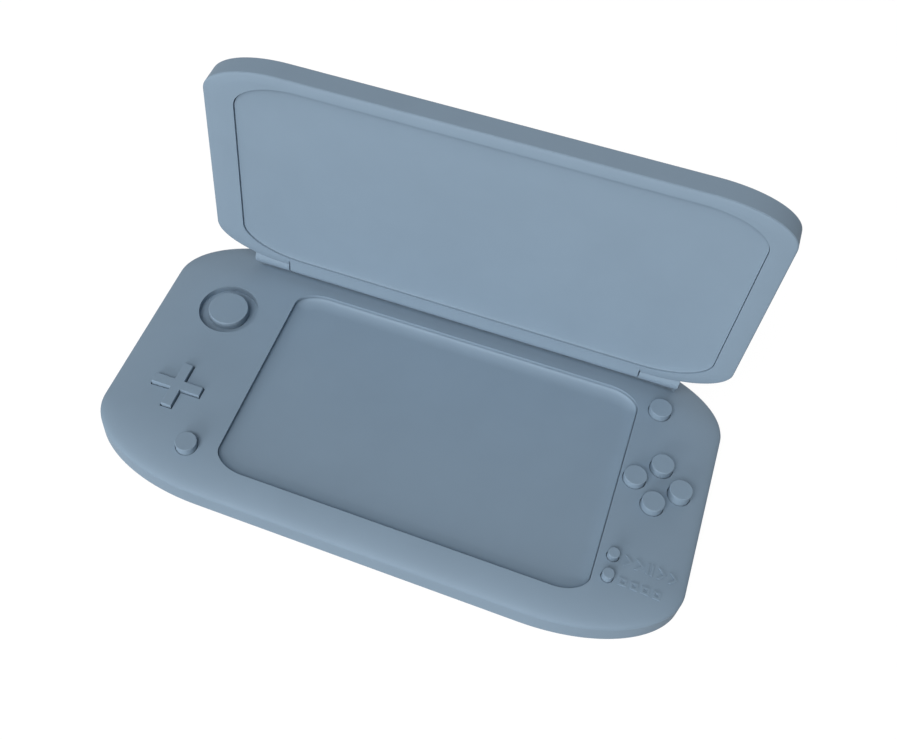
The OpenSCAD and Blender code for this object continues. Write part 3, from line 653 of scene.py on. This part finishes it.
def crown_height(x, y):
    """Height of the deck over the table at a place inside its rim."""
    over_x = abs(x) - BASE_W / 2 + BASE_CORNER[0]
    over_y = abs(y) - BASE_D / 2 + BASE_CORNER[1]
    if over_x <= 0 or over_y <= 0:
        share = min((BASE_W / 2 - abs(x)) / CROWN[0], (BASE_D / 2 - abs(y)) / CROWN[1], 1.0)
    else:
        low, high, halvings = 0.0, 1.0, 30
        for _ in range(halvings):
            share = (low + high) / 2
            across = over_x / (BASE_CORNER[0] - share * CROWN[0])
            along = over_y / (BASE_CORNER[1] - share * CROWN[1])
            low, high = (share, high) if across**2 + along**2 < 1 else (low, share)
    return CREASE_Z + (DECK_Z - CREASE_Z) * math.sqrt(max(0.0, 1 - (1 - share) ** 2))


ROUND_KEYS = {
    "north_key": "button_north",
    "east_key": "button_east",
    "south_key": "button_south",
    "west_key": "button_west",
    "menu_key": "menu_button",
    "home_key": "home_button",
    "start_key": "start_button",
    "select_key": "select_button",
}


def key_place(key):
    """Middle and radius of a round key."""
    low, high = box_mm(ROUND_KEYS[key])
    return ((low.x + high.x) / 2, (low.y + high.y) / 2), (high.x - low.x) / 2


pad_low, pad_high = box_mm("direction_pad")
PAD_AT = ((pad_low.x + pad_high.x) / 2, (pad_low.y + pad_high.y) / 2)
PAD_REACH = (pad_high.x - pad_low.x) / 2 - PAD_FLANGE[0]
cap_low, cap_high = box_mm("stick_cap")
STICK_AT = ((cap_low.x + cap_high.x) / 2, (cap_low.y + cap_high.y) / 2)


def plus(name, reach, arm, low, high):
    """A cross: a square bar whose four sides are pulled out."""
    half = arm / 2
    piece = centred(name, PAD_AT, half, half, low, high)
    with editing(piece):
        pick(piece, "faces", lambda f: abs(f.normal.z) < 0.5)
        bpy.ops.mesh.extrude_faces_move(TRANSFORM_OT_shrink_fatten={"value": reach - half})
        bpy.ops.mesh.select_all(action="SELECT")
        bpy.ops.mesh.normals_make_consistent(inside=False)
    return piece


def port_body(name, grow, front, back):
    """A bar with half-round sides that lies along Y: the shape of the charging socket."""
    x, _, z = PORT_AT
    half = PORT_SIZE[1] / 2
    side = (PORT_SIZE[0] - PORT_SIZE[1]) / 2
    left, right, half = x - side, x + side, half + grow
    middle = block(name, (left, front, z - half), (right, back, z + half))
    for end in (left, right):
        add(middle, rod("port_end", half, (end, front, z), (end, back, z), sides=48))
    return middle


def port_way():
    """The way for the charging socket, out through both halves of the case."""
    return port_body("port_way", CASE_GAP, PORT_AT[1] - PORT_SIZE[2], PORT_AT[1] + 2 * PAST)


def deck_slab():
    """The deck drawn flat: its rim, its openings and their lips."""
    start = math.degrees(math.acos(1 - PARTING / CROWN[1]))
    tuck = WALL + CASE_GAP
    foot = [(tuck, tuck, CREASE_Z - TONGUE_H), (tuck, tuck, CREASE_Z), (PARTING, PARTING, CREASE_Z)]
    rim = crown_rings(CROWN, DECK_Z - CREASE_Z, CREASE_Z, start, RIM_TURN, steps=8)
    slab = loft("upper_case", (BASE_W, BASE_D), BASE_CORNER, foot + rim, steps=32)
    flat_z = rim[-1][2]

    holes = [
        plate("window_hole", SCREEN_SIZE, SCREEN_CORNER, WINDOW_Z, ABOVE, SCREEN_AT),
        plate("sill_hole", SCREEN_SIZE, SCREEN_CORNER, BELOW, ABOVE, SCREEN_AT, LEDGE),
        post("well_hole", WELL_R, STICK_AT, WELL_Z, ABOVE, sides=120),
        post("stem_hole", STEM_HOLE_R, STICK_AT, BELOW, ABOVE, sides=60),
        plus("pad_hole", PAD_REACH + PAD_GAP, PAD_ARM + 2 * PAD_GAP, BELOW, ABOVE),
    ]
    for name in ROUND_KEYS:
        at, radius = key_place(name)
        holes.append(post("key_hole", radius + BUTTON_GAP, at, BELOW, ABOVE))
    cut(slab, holes)

    def lip(edge):
        walls = [abs(f.normal.z) < 0.2 for f in edge.link_faces]
        return level(edge, flat_z) and len(walls) == 2 and any(walls)

    round_edges(slab, lip, LIP)
    return slab


def crown_slab(slab):
    """Cuts the flat and its lips into strips both ways, then lifts them into their crown."""
    flat_z = max(v.co.z for v in slab.data.vertices)
    slack = 0.002
    lip_z = flat_z - LIP - 10 * slack

    def flat(vertex):
        return vertex.co.z > lip_z and crown_height(vertex.co.x, vertex.co.y) > flat_z - slack

    with editing(slab):
        for axis, reach in enumerate((BASE_W / 2, BASE_D / 2)):
            count = int(reach / STRIP_PITCH[axis])
            for i in range(-count, count + 1):
                place, across = [0.0, 0.0, 0.0], [0.0, 0.0, 0.0]
                place[axis] = i * STRIP_PITCH[axis] + STRIP_SHIFT
                across[axis] = 1.0
                bpy.ops.mesh.select_all(action="DESELECT")
                pick(slab, "faces", lambda f: all(flat(v) for v in f.verts))
                bpy.ops.mesh.bisect(plane_co=place, plane_no=across)
    for vertex in slab.data.vertices:
        if flat(vertex):
            vertex.co.z += crown_height(vertex.co.x, vertex.co.y) - flat_z
    return slab


def whole_crown(name, rise, steps):
    """The base's crown as one plain body, without openings, lifted by a rise."""
    rings = crown_rings(CROWN, DECK_Z - CREASE_Z, CREASE_Z + rise, steps=30)
    return loft(name, (BASE_W, BASE_D), BASE_CORNER, rings, steps=steps)


def crown_shine(piece):
    """Gives the crowned deck the shading of one even surface, across the joints of its strips."""
    guide = whole_crown("crown_guide", rise=0, steps=48)
    only(guide)
    bpy.ops.object.shade_smooth()
    slack, rim_z = 0.003, CREASE_Z + 0.2

    def on_crown(vertex):
        high = crown_height(vertex.co.x, vertex.co.y)
        return vertex.co.z > rim_z and abs(vertex.co.z - high) < slack

    crown = piece.vertex_groups.new(name="crown")
    crown.add([v.index for v in piece.data.vertices if on_crown(v)], 1.0, "REPLACE")
    only(piece)
    step = piece.modifiers.new("crown_shine", "DATA_TRANSFER")
    step.object = guide
    step.use_loop_data = True
    step.data_types_loops = {"CUSTOM_NORMAL"}
    step.loop_mapping = "POLYINTERP_NEAREST"
    step.vertex_group = crown.name
    bpy.ops.object.modifier_apply(modifier=step.name)
    piece.vertex_groups.clear()
    bpy.data.objects.remove(guide)


def deck_hollow():
    """What is empty under the deck: the cavity less the posts, collars, well and screen block."""
    start = math.degrees(math.asin(WALL / (DECK_Z - CREASE_Z)))
    tuck = WALL + CASE_GAP + TONGUE_T
    rings = [(tuck, tuck, HOLLOW_FROM_Z), (tuck, tuck, CREASE_Z)]
    rings += crown_rings(CROWN, DECK_Z - CREASE_Z, CREASE_Z - WALL, start, inset=WALL)
    hollow = loft("deck_hollow", (BASE_W, BASE_D), BASE_CORNER, rings)
    around = (SCREEN_SIZE[0] + 2 * BLOCK_WALL, SCREEN_SIZE[1] + 2 * BLOCK_WALL)
    corner = (SCREEN_CORNER[0] + BLOCK_WALL, SCREEN_CORNER[1] + BLOCK_WALL)
    solids = [
        plate("screen_block", around, corner, PLATE_Z, ABOVE, SCREEN_AT),
        post("well_cup", WELL_R + WELL_WALL, STICK_AT, WELL_Z - WELL_FLOOR, ABOVE),
    ]
    solids += [post("case_post", POST_R, at, POST_SPLIT_Z, ABOVE) for at in POSTS]
    for name in ROUND_KEYS:
        at, radius = key_place(name)
        solids.append(post("collar", radius + BUTTON_GAP + COLLAR_WALL, at, COLLAR_Z, ABOVE))
    cut(hollow, solids)
    reach = PAD_REACH + PAD_FLANGE[0] + PAD_POCKET_GAP
    return [hollow, centred("pad_pocket", PAD_AT, reach, reach, HOLLOW_FROM_Z, PAD_ROOF_Z)]


def chevron(name, x, y):
    """A tall forward sign, its two arms meeting at the tip."""
    tip, wide = MARK_SIZE / 2, MARK_STROKE * math.sqrt(2)
    corners = [(0, -tip), (wide, -tip), (wide + tip, 0), (wide, tip), (0, tip), (tip, 0)]
    clear()
    bpy.ops.mesh.primitive_cylinder_add(vertices=len(corners), radius=1, depth=1)
    sign = added(name)
    step = math.tau / len(corners)
    root = crown_height(x + tip, y) - WALL / 2
    for vertex in sign.data.vertices:
        turn = round(math.atan2(vertex.co.x, vertex.co.y) / step) % len(corners)
        vertex.co.x, vertex.co.y = x + corners[turn][0], y + corners[turn][1]
        vertex.co.z = ABOVE if vertex.co.z > 0 else root
    with editing(sign):
        bpy.ops.mesh.select_all(action="SELECT")
        bpy.ops.mesh.normals_make_consistent(inside=False)
    return sign


def bar_mark(name, middle, half_x, half_y):
    """A tall mark with straight sides, rooted in the thickness of the deck."""
    return centred(name, middle, half_x, half_y, crown_height(*middle) - WALL / 2, ABOVE)


def option_marks():
    """Raised marks beside the option keys: forward and pause signs behind, frames in front."""
    (x, y), radius = key_place("start_key")
    x += radius + MARK_GAP
    marks = [chevron("forward_sign", x + MARK_PITCH * k, y) for k in FORWARD_STEPS]
    for k in PAUSE_STEPS:
        middle = (x + MARK_PITCH * k + MARK_STROKE / 2, y)
        marks.append(bar_mark("pause_bar", middle, MARK_STROKE / 2, MARK_SIZE / 2))
    (x, y), radius = key_place("select_key")
    x += radius + MARK_GAP
    half, inner = MARK_SQUARE / 2, MARK_SQUARE / 2 - MARK_STROKE
    for k in FRAME_STEPS:
        middle = (x + MARK_PITCH * k + half, y)
        hole = centred("frame_hole", middle, inner, inner, BELOW, ABOVE + PAST)
        marks.append(cut(bar_mark("frame_mark", middle, half, half), hole))
    raised = whole_crown("raised_crown", MARK_TOP, steps=24)
    return combine(joined("marks", marks), raised, "INTERSECT")


def hinge_mounts():
    """The two fixed knuckles with their webs, and the low wall that joins them."""
    wall = block(
        "hinge_wall", (KNUCKLE_LEFT, WEB_FRONT, WEB_ROOT_Z), (KNUCKLE_RIGHT, WEB_BACK, SADDLE_Z)
    )
    parts = []
    for x in (KNUCKLE_LEFT, KNUCKLE_RIGHT - KNUCKLE):
        parts.append(block("web", (x, WEB_FRONT, WEB_ROOT_Z), (x + KNUCKLE, WEB_BACK, HINGE_Z)))
        knuckle = along_hinge("knuckle", BARREL_R, x, x + KNUCKLE, sides=96)
        round_edges(knuckle, sharp, KNUCKLE_ROUND, segments=2)
        parts.append(knuckle)
    add(wall, parts)
    round_edges(wall, lambda e: level(e, SADDLE_Z) and sharp(e), KNUCKLE_ROUND, segments=2)
    return wall


def upper_case():
    piece = crown_slab(deck_slab())
    cut(piece, deck_hollow())
    add(piece, hinge_mounts())
    add(piece, option_marks())
    inner = KNUCKLE - PIN_IN_KNUCKLE
    left_pin, right_pin = KNUCKLE_LEFT + inner, KNUCKLE_RIGHT - inner
    cable_at = (left_pin - CHAMBER_LENGTH / 2, HINGE_Y + CABLE_BACK)
    tools = [
        along_hinge("left_bore", PIN_R, left_pin, BARREL_LEFT + PAST),
        along_hinge("right_bore", PIN_R, BARREL_RIGHT - PAST, right_pin),
        along_hinge("cable_chamber", CHAMBER_R, left_pin - CHAMBER_LENGTH, left_pin),
        post("cable_way", CABLE_WAY_R, cable_at, HOLLOW_FROM_Z, HINGE_Z, sides=32),
        port_way(),
    ]
    pilot_z = POST_SPLIT_Z + PILOT_DEPTH
    tools += [post("pilot_hole", SCREW_R, at, HOLLOW_FROM_Z, pilot_z, sides=32) for at in POSTS]
    for name in ROUND_KEYS:
        at, radius = key_place(name)
        half_x, half_y = LUG[0] / 2 + MOVING_GAP, radius + LUG[1] + MOVING_GAP
        tools.append(centred("lug_room", at, half_x, half_y, BOARD_TOP, LUG_ROOF_Z))
    return cut(piece, tools)


# ---- Base: lower case, door, feet, screws and socket ----


def lower_case():
    root = CASE_Z + ROOT
    rings = round_rings(BASE_ROUND, CASE_Z, steps=4)
    rings += [(0, 0, CREASE_Z - PARTING), (PARTING, PARTING, CREASE_Z)]
    piece = loft("lower_case", (BASE_W, BASE_D), BASE_CORNER, rings, steps=32)
    cut(piece, plate("tub", (BASE_W, BASE_D), BASE_CORNER, FLOOR_Z, ABOVE, inset=WALL))
    solids = [post("case_post", POST_R, at, root, POST_SPLIT_Z) for at in POSTS]
    solids += [post("standoff", STANDOFF_R, (x, y), root, top, sides=48) for x, y, top in STANDOFFS]
    solids.append(post("door_boss", EAR_BOSS_R, EAR_AT, root, EAR_BOSS_Z, sides=48))
    add(piece, solids)
    tools = []
    for at in POSTS:
        tools.append(post("screw_hole", SCREW_HOLE_R, at, BELOW, ABOVE, sides=32))
        tools.append(post("head_hole", HEAD_R + CASE_GAP, at, BELOW, HEAD_HOLE_Z, sides=48))
    for x, y, _ in STANDOFFS:
        tools.append(post("board_hole", BOARD_HOLE_R, (x, y), FLOOR_Z, ABOVE, sides=24))
    tools += [post("foot_seat", FOOT_R, at, BELOW, FOOT_SEAT_Z) for at in FEET]
    for x, y in SPEAKERS:
        for k in (-1, 0, 1):
            middle, top = (x, y + SLOT_PITCH * k), FLOOR_Z + PAST
            slot = centred("sound_slot", middle, SLOT_SIZE[0] / 2, SLOT_SIZE[1] / 2, BELOW, top)
            round_edges(slot, upright, SLOT_ROUND, segments=6)
            tools.append(slot)
    tools += door_opening()
    tools.append(post("door_pilot", SCREW_R, EAR_AT, BELOW, EAR_PILOT_Z, sides=32))
    tools.append(port_way())
    return cut(piece, tools)


def door_span(name, grow, low, high, step=0.0):
    """A box over the battery door, grown by a gap and shrunk by a step."""
    half_w, half_d = COVER_SIZE[0] / 2 + grow - step, COVER_SIZE[1] / 2 + grow - step
    return centred(name, BATTERY_AT, half_w, half_d, low, high)


def door_opening():
    return [
        door_span("door_recess", CASE_GAP, BELOW, CASE_Z + COVER_T),
        post("ear_recess", EAR_R + CASE_GAP, EAR_AT, BELOW, CASE_Z + COVER_T),
        door_span("door_way", CASE_GAP, BELOW, FLOOR_Z + PAST, COVER_STEP),
    ]


def battery_door():
    door = door_span("battery_door", 0, CASE_Z, CASE_Z + COVER_T)
    add(door, post("ear", EAR_R, EAR_AT, CASE_Z, CASE_Z + COVER_T))
    round_edges(door, lambda e: level(e, CASE_Z) and sharp(e), COVER_ROUND)
    add(door, door_span("door_plug", 0, CASE_Z + ROOT, FLOOR_Z, COVER_STEP))
    left, right = BATTERY_AT[0] - GRIP_HALF, BATTERY_AT[0] + GRIP_HALF
    front = BATTERY_AT[1] - COVER_SIZE[1] / 2 + GRIP_FROM
    grips = []
    for k in range(GRIPS):
        y = front + GRIP_PITCH * k
        grips.append(rod("grip", GRIP_R, (left, y, CASE_Z), (right, y, CASE_Z), sides=16))
    cut(door, joined("grips", grips))
    head = post("head_hole", HEAD_R + CASE_GAP, EAR_AT, BELOW, EAR_HEAD_HOLE_Z, sides=48)
    return cut(door, [post("screw_hole", SCREW_HOLE_R, EAR_AT, BELOW, ABOVE, sides=32), head])


def foot(name, at):
    pad = post(name, FOOT_R - CASE_GAP, at, 0, FOOT_SEAT_Z)
    round_edges(pad, lambda e: level(e, 0), FOOT_ROUND)
    return pad


def screw(name, at, head, tip_z):
    """A cross-head screw that is driven from below. Its head is given by its height and depth."""
    head_z, head_t = head
    body = post(name, HEAD_R, at, head_z, head_z + head_t, sides=48)
    round_edges(body, lambda e: level(e, head_z), HEAD_ROUND)
    add(body, post("shank", SCREW_R, at, head_z + head_t / 2, tip_z, sides=32))
    slot_z = head_z + head_t * DRIVER_SHARE
    slots = [
        centred("driver_slot", at, half_x, half_y, head_z - PAST, slot_z)
        for half_x, half_y in (DRIVER_SLOT, DRIVER_SLOT[::-1])
    ]
    return cut(body, slots)


def charge_socket():
    """A drawn steel shell with its tongue joined in."""
    front, back = PORT_AT[1] - PORT_SIZE[2], PORT_AT[1]
    shell = port_body("charge_socket", 0, front, back)
    cut(shell, port_body("port_mouth", -PORT_WALL, front + PORT_BACK_T, back + PAST))
    round_edges(shell, lambda e: level(e, back, 1) and sharp(e), PORT_ROUND, segments=2)
    (x, _, z), (half_x, half_z) = PORT_AT, TONGUE_HALF
    tip = back - TONGUE_SET_IN
    root = front + TONGUE_SET_IN
    tongue = block("port_tongue", (x - half_x, root, z - half_z), (x + half_x, tip, z + half_z))
    round_edges(tongue, lambda e: level(e, tip, 1), TONGUE_ROUND, segments=2)
    return add(shell, tongue)


def base_lens():
    rings = dish_rings(SCREEN_CURVE, SCREEN_EDGE_Z, SCREEN_FLOOR_Z, WINDOW_Z)
    size = (SCREEN_SIZE[0] - 2 * CASE_GAP, SCREEN_SIZE[1] - 2 * CASE_GAP)
    corner = (SCREEN_CORNER[0] - CASE_GAP, SCREEN_CORNER[1] - CASE_GAP)
    return loft("base_lens", size, corner, rings, SCREEN_AT)


finished(upper_case(), "base", "case", ["base_upper_shell"], crown_shine)
finished(lower_case(), "base", "case", ["base_lower_shell"])
finished(base_lens(), "base", "window", ["base_window"])
finished(battery_door(), "base", "case", ["battery_cover"])
for number, at in enumerate(FEET, 1):
    finished(foot(f"foot_{number}", at), "base", "rubber", ["rubber_feet"])
first_screw = screw("case_screw_1", POSTS[0], CASE_HEAD, CASE_TIP_Z)
case_screws = [first_screw]
for number, at in enumerate(POSTS[1:], 2):
    shift = (at[0] - POSTS[0][0], at[1] - POSTS[0][1], 0)
    case_screws.append(copied(first_screw, f"case_screw_{number}", shift))
for driven in case_screws:
    finished(driven, "base", "steel", ["case_screws"])
door_screw = screw("door_screw", EAR_AT, EAR_HEAD, EAR_TIP_Z)
finished(door_screw, "base", "steel", ["battery_cover_screw"])
finished(charge_socket(), "base", "steel", ["charge_port"])


# ---- Controls ----


def round_key(name):
    """A hollow keytop on two lugs, its top edge softened."""
    at, radius = key_place(name)
    key = post(name, radius, at, BUTTON_BASE_Z, button_high.z, sides=96)
    round_edges(key, lambda e: level(e, button_high.z), KEY_ROUND, segments=4)
    lug_x, lug_y, lug_t = LUG
    lugs = centred("lugs", at, lug_x / 2, radius + lug_y, BUTTON_BASE_Z, BUTTON_BASE_Z + lug_t)
    add(key, lugs)
    return cut(key, post("hollow", radius * HOLLOW_SHARE, at, BELOW, HOLLOW_Z, sides=48))


def direction_pad():
    top = pad_high.z
    wide, thick = PAD_FLANGE
    pad = plus("direction_key", PAD_REACH, PAD_ARM, pad_low.z + thick / 3, top)
    round_edges(pad, lambda e: level(e, top) and sharp(e), PAD_ROUND)
    flange = plus("flange", PAD_REACH + wide, PAD_ARM + 2 * wide, pad_low.z, pad_low.z + thick)
    return add(pad, flange)


def stick_cap():
    top, radius = cap_high.z, (cap_high.x - cap_low.x) / 2
    cap = post("stick_top", radius, STICK_AT, cap_low.z, top, sides=120)
    round_edges(cap, lambda e: level(e, top), CAP_ROUND, segments=4)
    return cut(cap, post("stem_socket", STEM_R, STICK_AT, BELOW, top - CAP_TOP_T, sides=48))


big_key = round_key("north_key")
small_key = round_key("start_key")
keys = [big_key, small_key]
for name in ROUND_KEYS:
    model = small_key if name == "select_key" else big_key
    if name not in ("north_key", "start_key"):
        at, _ = key_place(name)
        home, _ = key_place(model.name)
        keys.append(copied(model, name, (at[0] - home[0], at[1] - home[1], 0)))
for key in keys:
    cad_node = ROUND_KEYS[key.name]
    finished(key, cad_node, "button", [cad_node])
finished(direction_pad(), "direction_pad", "button", ["direction_pad"])
finished(stick_cap(), "stick", "button", ["stick_cap"])


# ---- Lid ----


def stood(piece):
    """Stands a piece of the lid, drawn flat with its face up, on its hinge."""
    only(piece)
    piece.rotation_euler = (math.radians(90), 0, 0)
    piece.location = (LID_X, LID_FACE_Y, LID_MID_Z)
    bpy.ops.object.transform_apply(location=True, rotation=True, scale=True)
    return piece


def knuckle_room():
    """The room that the fixed knuckles and their webs need in the lid as it turns."""
    radius = BARREL_R + MOVING_GAP + TURN_GAP
    tools = []
    for left in (BARREL_LEFT - KNUCKLE_ROOM, BARREL_RIGHT):
        right = left + KNUCKLE_ROOM
        tools.append(along_hinge("knuckle_room", radius, left, right, sides=96))
        low = (left, HINGE_Y + WEB_ROOM[0], 0)
        high = (right, LID_FACE_Y + LID_T + PAST, HINGE_Z + WEB_ROOM[1])
        tools.append(block("web_room", low, high))
    return tools


def lid_barrel():
    """The long barrel, its upper half drawn out square into the neck that carries the lid.

    It ends just short of its room each way, so that no two faces lie in one plane.
    """
    short_x, short_z, least = 0.02, 0.05, 0.001
    left, right = BARREL_LEFT + short_x, BARREL_RIGHT - short_x
    barrel = along_hinge("barrel", BARREL_R, left, right, sides=96)
    rise = NECK_Z - short_z - HINGE_Z
    for vertex in barrel.data.vertices:
        across, up = vertex.co.y - HINGE_Y, vertex.co.z - HINGE_Z
        if up > least:
            grow = min(BARREL_R / max(abs(across), least), rise / up)
            vertex.co.y, vertex.co.z = HINGE_Y + across * grow, HINGE_Z + up * grow

    def end(edge):
        return sharp(edge) and level(edge, edge.verts[0].co.x, 0)

    round_edges(barrel, end, BARREL_ROUND, segments=2)
    return barrel


def lid_back():
    rings = round_rings(LID_ROUND, -LID_T, steps=5)
    rings += [(0, 0, -LID_CROWN_DROP - PARTING), (PARTING, PARTING, -LID_CROWN_DROP)]
    back = loft("lid_back", LID_SIZE, LID_CORNER, rings, steps=32)
    cut(back, plate("lid_tub", LID_SIZE, LID_CORNER, -LID_T + LID_BACK_T, LID_PAST, inset=WALL))
    for x in PEG_XS:
        add(back, post("peg", PEG_R, (x, -LID_SIZE[1] / 2 + PEG_UP), -LID_T + 1, PEG_TOP, sides=32))
    cut(stood(back), knuckle_room())
    add(back, lid_barrel())
    bore = along_hinge("bore", PIN_R + TURN_GAP, BARREL_LEFT - PAST, BARREL_RIGHT + PAST)
    left, right = flex_low.x - FLEX_GAP, flex_high.x + FLEX_GAP
    front, rear = HINGE_Y + FLEX_WAY_YS[0], HINGE_Y + FLEX_WAY_YS[1]
    flex_way = block("flex_way", (left, front, HINGE_Z), (right, rear, NECK_Z + PAST))
    return cut(back, [bore, flex_way])


def lid_bezel():
    start = math.degrees(math.acos(1 - PARTING / LID_CROWN[1]))
    rise = LID_CROWN_DROP / math.sin(math.radians(BEZEL_TURN))
    rim = crown_rings(LID_CROWN, rise, -LID_CROWN_DROP, start, BEZEL_TURN, steps=10)
    tuck = WALL + CASE_GAP
    foot_rings = [(tuck, tuck, -BEZEL_BACK), (tuck, tuck, -LID_CROWN_DROP)]
    foot_rings.append((PARTING, PARTING, -LID_CROWN_DROP))
    bezel = loft("lid_bezel", LID_SIZE, LID_CORNER, foot_rings + rim, steps=32)
    cut(bezel, plate("panel_seat", PANEL_SIZE, PANEL_CORNER, PANEL_BACK, LID_PAST, PANEL_AT))
    round_edges(bezel, lambda e: level(e, 0) and sharp(e), BEZEL_ROUND, segments=2)
    cut(bezel, plate("panel_way", PANEL_SIZE, PANEL_CORNER, -LID_PAST, 0, PANEL_AT, PANEL_LEDGE))
    stood(bezel)
    rear = LID_FACE_Y + LID_CROWN_DROP + CASE_GAP
    left, right = BARREL_LEFT - MOVING_GAP, BARREL_RIGHT + MOVING_GAP
    neck_room = block("neck_room", (left, 0, 0), (right, rear, NECK_Z + CASE_GAP))
    return cut(bezel, [*knuckle_room(), neck_room])


def lid_lens():
    rings = dish_rings(PANEL_CURVE, PANEL_EDGE, PANEL_FLAT, PANEL_BACK, PANEL_LAND)
    size = (PANEL_SIZE[0] - 2 * CASE_GAP, PANEL_SIZE[1] - 2 * CASE_GAP)
    corner = (PANEL_CORNER[0] - CASE_GAP, PANEL_CORNER[1] - CASE_GAP)
    return stood(loft("lid_lens", size, corner, rings, PANEL_AT))


finished(lid_back(), "lid", "case", ["lid_outer_shell"])
finished(lid_bezel(), "lid", "case", ["lid_inner_shell"])
finished(lid_lens(), "lid", "window", ["lid_window"])


# ---- Floor, light and camera ----

# How much of the floor, as it is seen, is even white, and how much is lit and shadowed
GLOW_SHARE = 0.75
# Where the lamps point, in metres
AIM = Vector((0, 0, 0.03))


def seen_directly(tree):
    """One where the camera sees a surface directly, reflected or through glass, else zero."""
    path = node(tree, "ShaderNodeLightPath")
    seen = path.outputs["Is Camera Ray"]
    for kind in ("Is Glossy Ray", "Is Transmission Ray"):
        either = node(tree, "ShaderNodeMath", {"operation": "MAXIMUM"})
        tree.links.new(seen, either.inputs[0])
        tree.links.new(path.outputs[kind], either.inputs[1])
        seen = either.outputs["Value"]
    return seen


def studio_floor():
    """A plain white table: bare paper to the camera, with the object's own faint shadow."""
    clear()
    bpy.ops.mesh.primitive_plane_add(size=6)
    floor = added("studio_floor")
    paper, tree, shader = new_finish("white_paper_sweep")
    shader.inputs["Base Color"].default_value = linear("#8a8a8a")
    shader.inputs["Roughness"].default_value = 0.9
    glow = node(tree, "ShaderNodeEmission", {"Strength": 1.28})
    share = node(tree, "ShaderNodeMath", {"operation": "MULTIPLY"})
    tree.links.new(seen_directly(tree), share.inputs[0])
    share.inputs[1].default_value = GLOW_SHARE
    mixed = node(tree, "ShaderNodeMixShader", Fac=share.outputs["Value"])
    tree.links.new(shader.outputs["BSDF"], mixed.inputs[1])
    tree.links.new(glow.outputs["Emission"], mixed.inputs[2])
    tree.links.new(mixed.outputs["Shader"], tree.nodes["Material Output"].inputs["Surface"])
    floor.data.materials.append(paper)


def studio_world():
    """Soft light all round, and plain white where it is seen or reflected."""
    world = bpy.data.worlds.new("white_studio")
    bpy.context.scene.world = world
    world.use_nodes = True
    tree = world.node_tree
    sky = tree.nodes["Background"]
    strength = node(
        tree, "ShaderNodeMapRange", {"To Min": 0.2, "To Max": 1.0}, Value=seen_directly(tree)
    )
    sky.inputs["Color"].default_value = (1, 1, 1, 1)
    tree.links.new(strength.outputs["Result"], sky.inputs["Strength"])


def softbox(name, azimuth, elevation, distance, size, power):
    """A square lamp that looks at the object. Azimuth 0 is in front, and 90 at the right."""
    a, e = math.radians(azimuth), math.radians(elevation)
    away = Vector((math.sin(a) * math.cos(e), -math.cos(a) * math.cos(e), math.sin(e)))
    lamp = bpy.data.lights.new(name, "AREA")
    lamp.size = size
    lamp.energy = power
    holder = bpy.data.objects.new(name, lamp)
    bpy.context.scene.collection.objects.link(holder)
    holder.location = AIM + away * distance
    holder.rotation_euler = away.to_track_quat("Z", "Y").to_euler()


def camera():
    data = bpy.data.cameras.new("camera")
    data.lens = 44.712
    data.sensor_width = 36
    data.shift_x = 0.13818
    data.shift_y = -0.00736
    eye = bpy.data.objects.new("camera", data)
    bpy.context.scene.collection.objects.link(eye)
    eye.location = (0.04486, -0.18098, 0.29308)
    tilt, turn = 35.63, 21.78
    eye.rotation_euler = (math.radians(tilt), 0, math.radians(turn))
    bpy.context.scene.camera = eye


studio_floor()
studio_world()
softbox("high_light", azimuth=-14, elevation=52, distance=2.5, size=1.4, power=41)
softbox("front_light", azimuth=-14, elevation=8, distance=2.5, size=1.4, power=49)
softbox("back_light", azimuth=170, elevation=4, distance=2.0, size=1.2, power=16)
camera()
bpy.context.scene.view_settings.view_transform = "Standard"
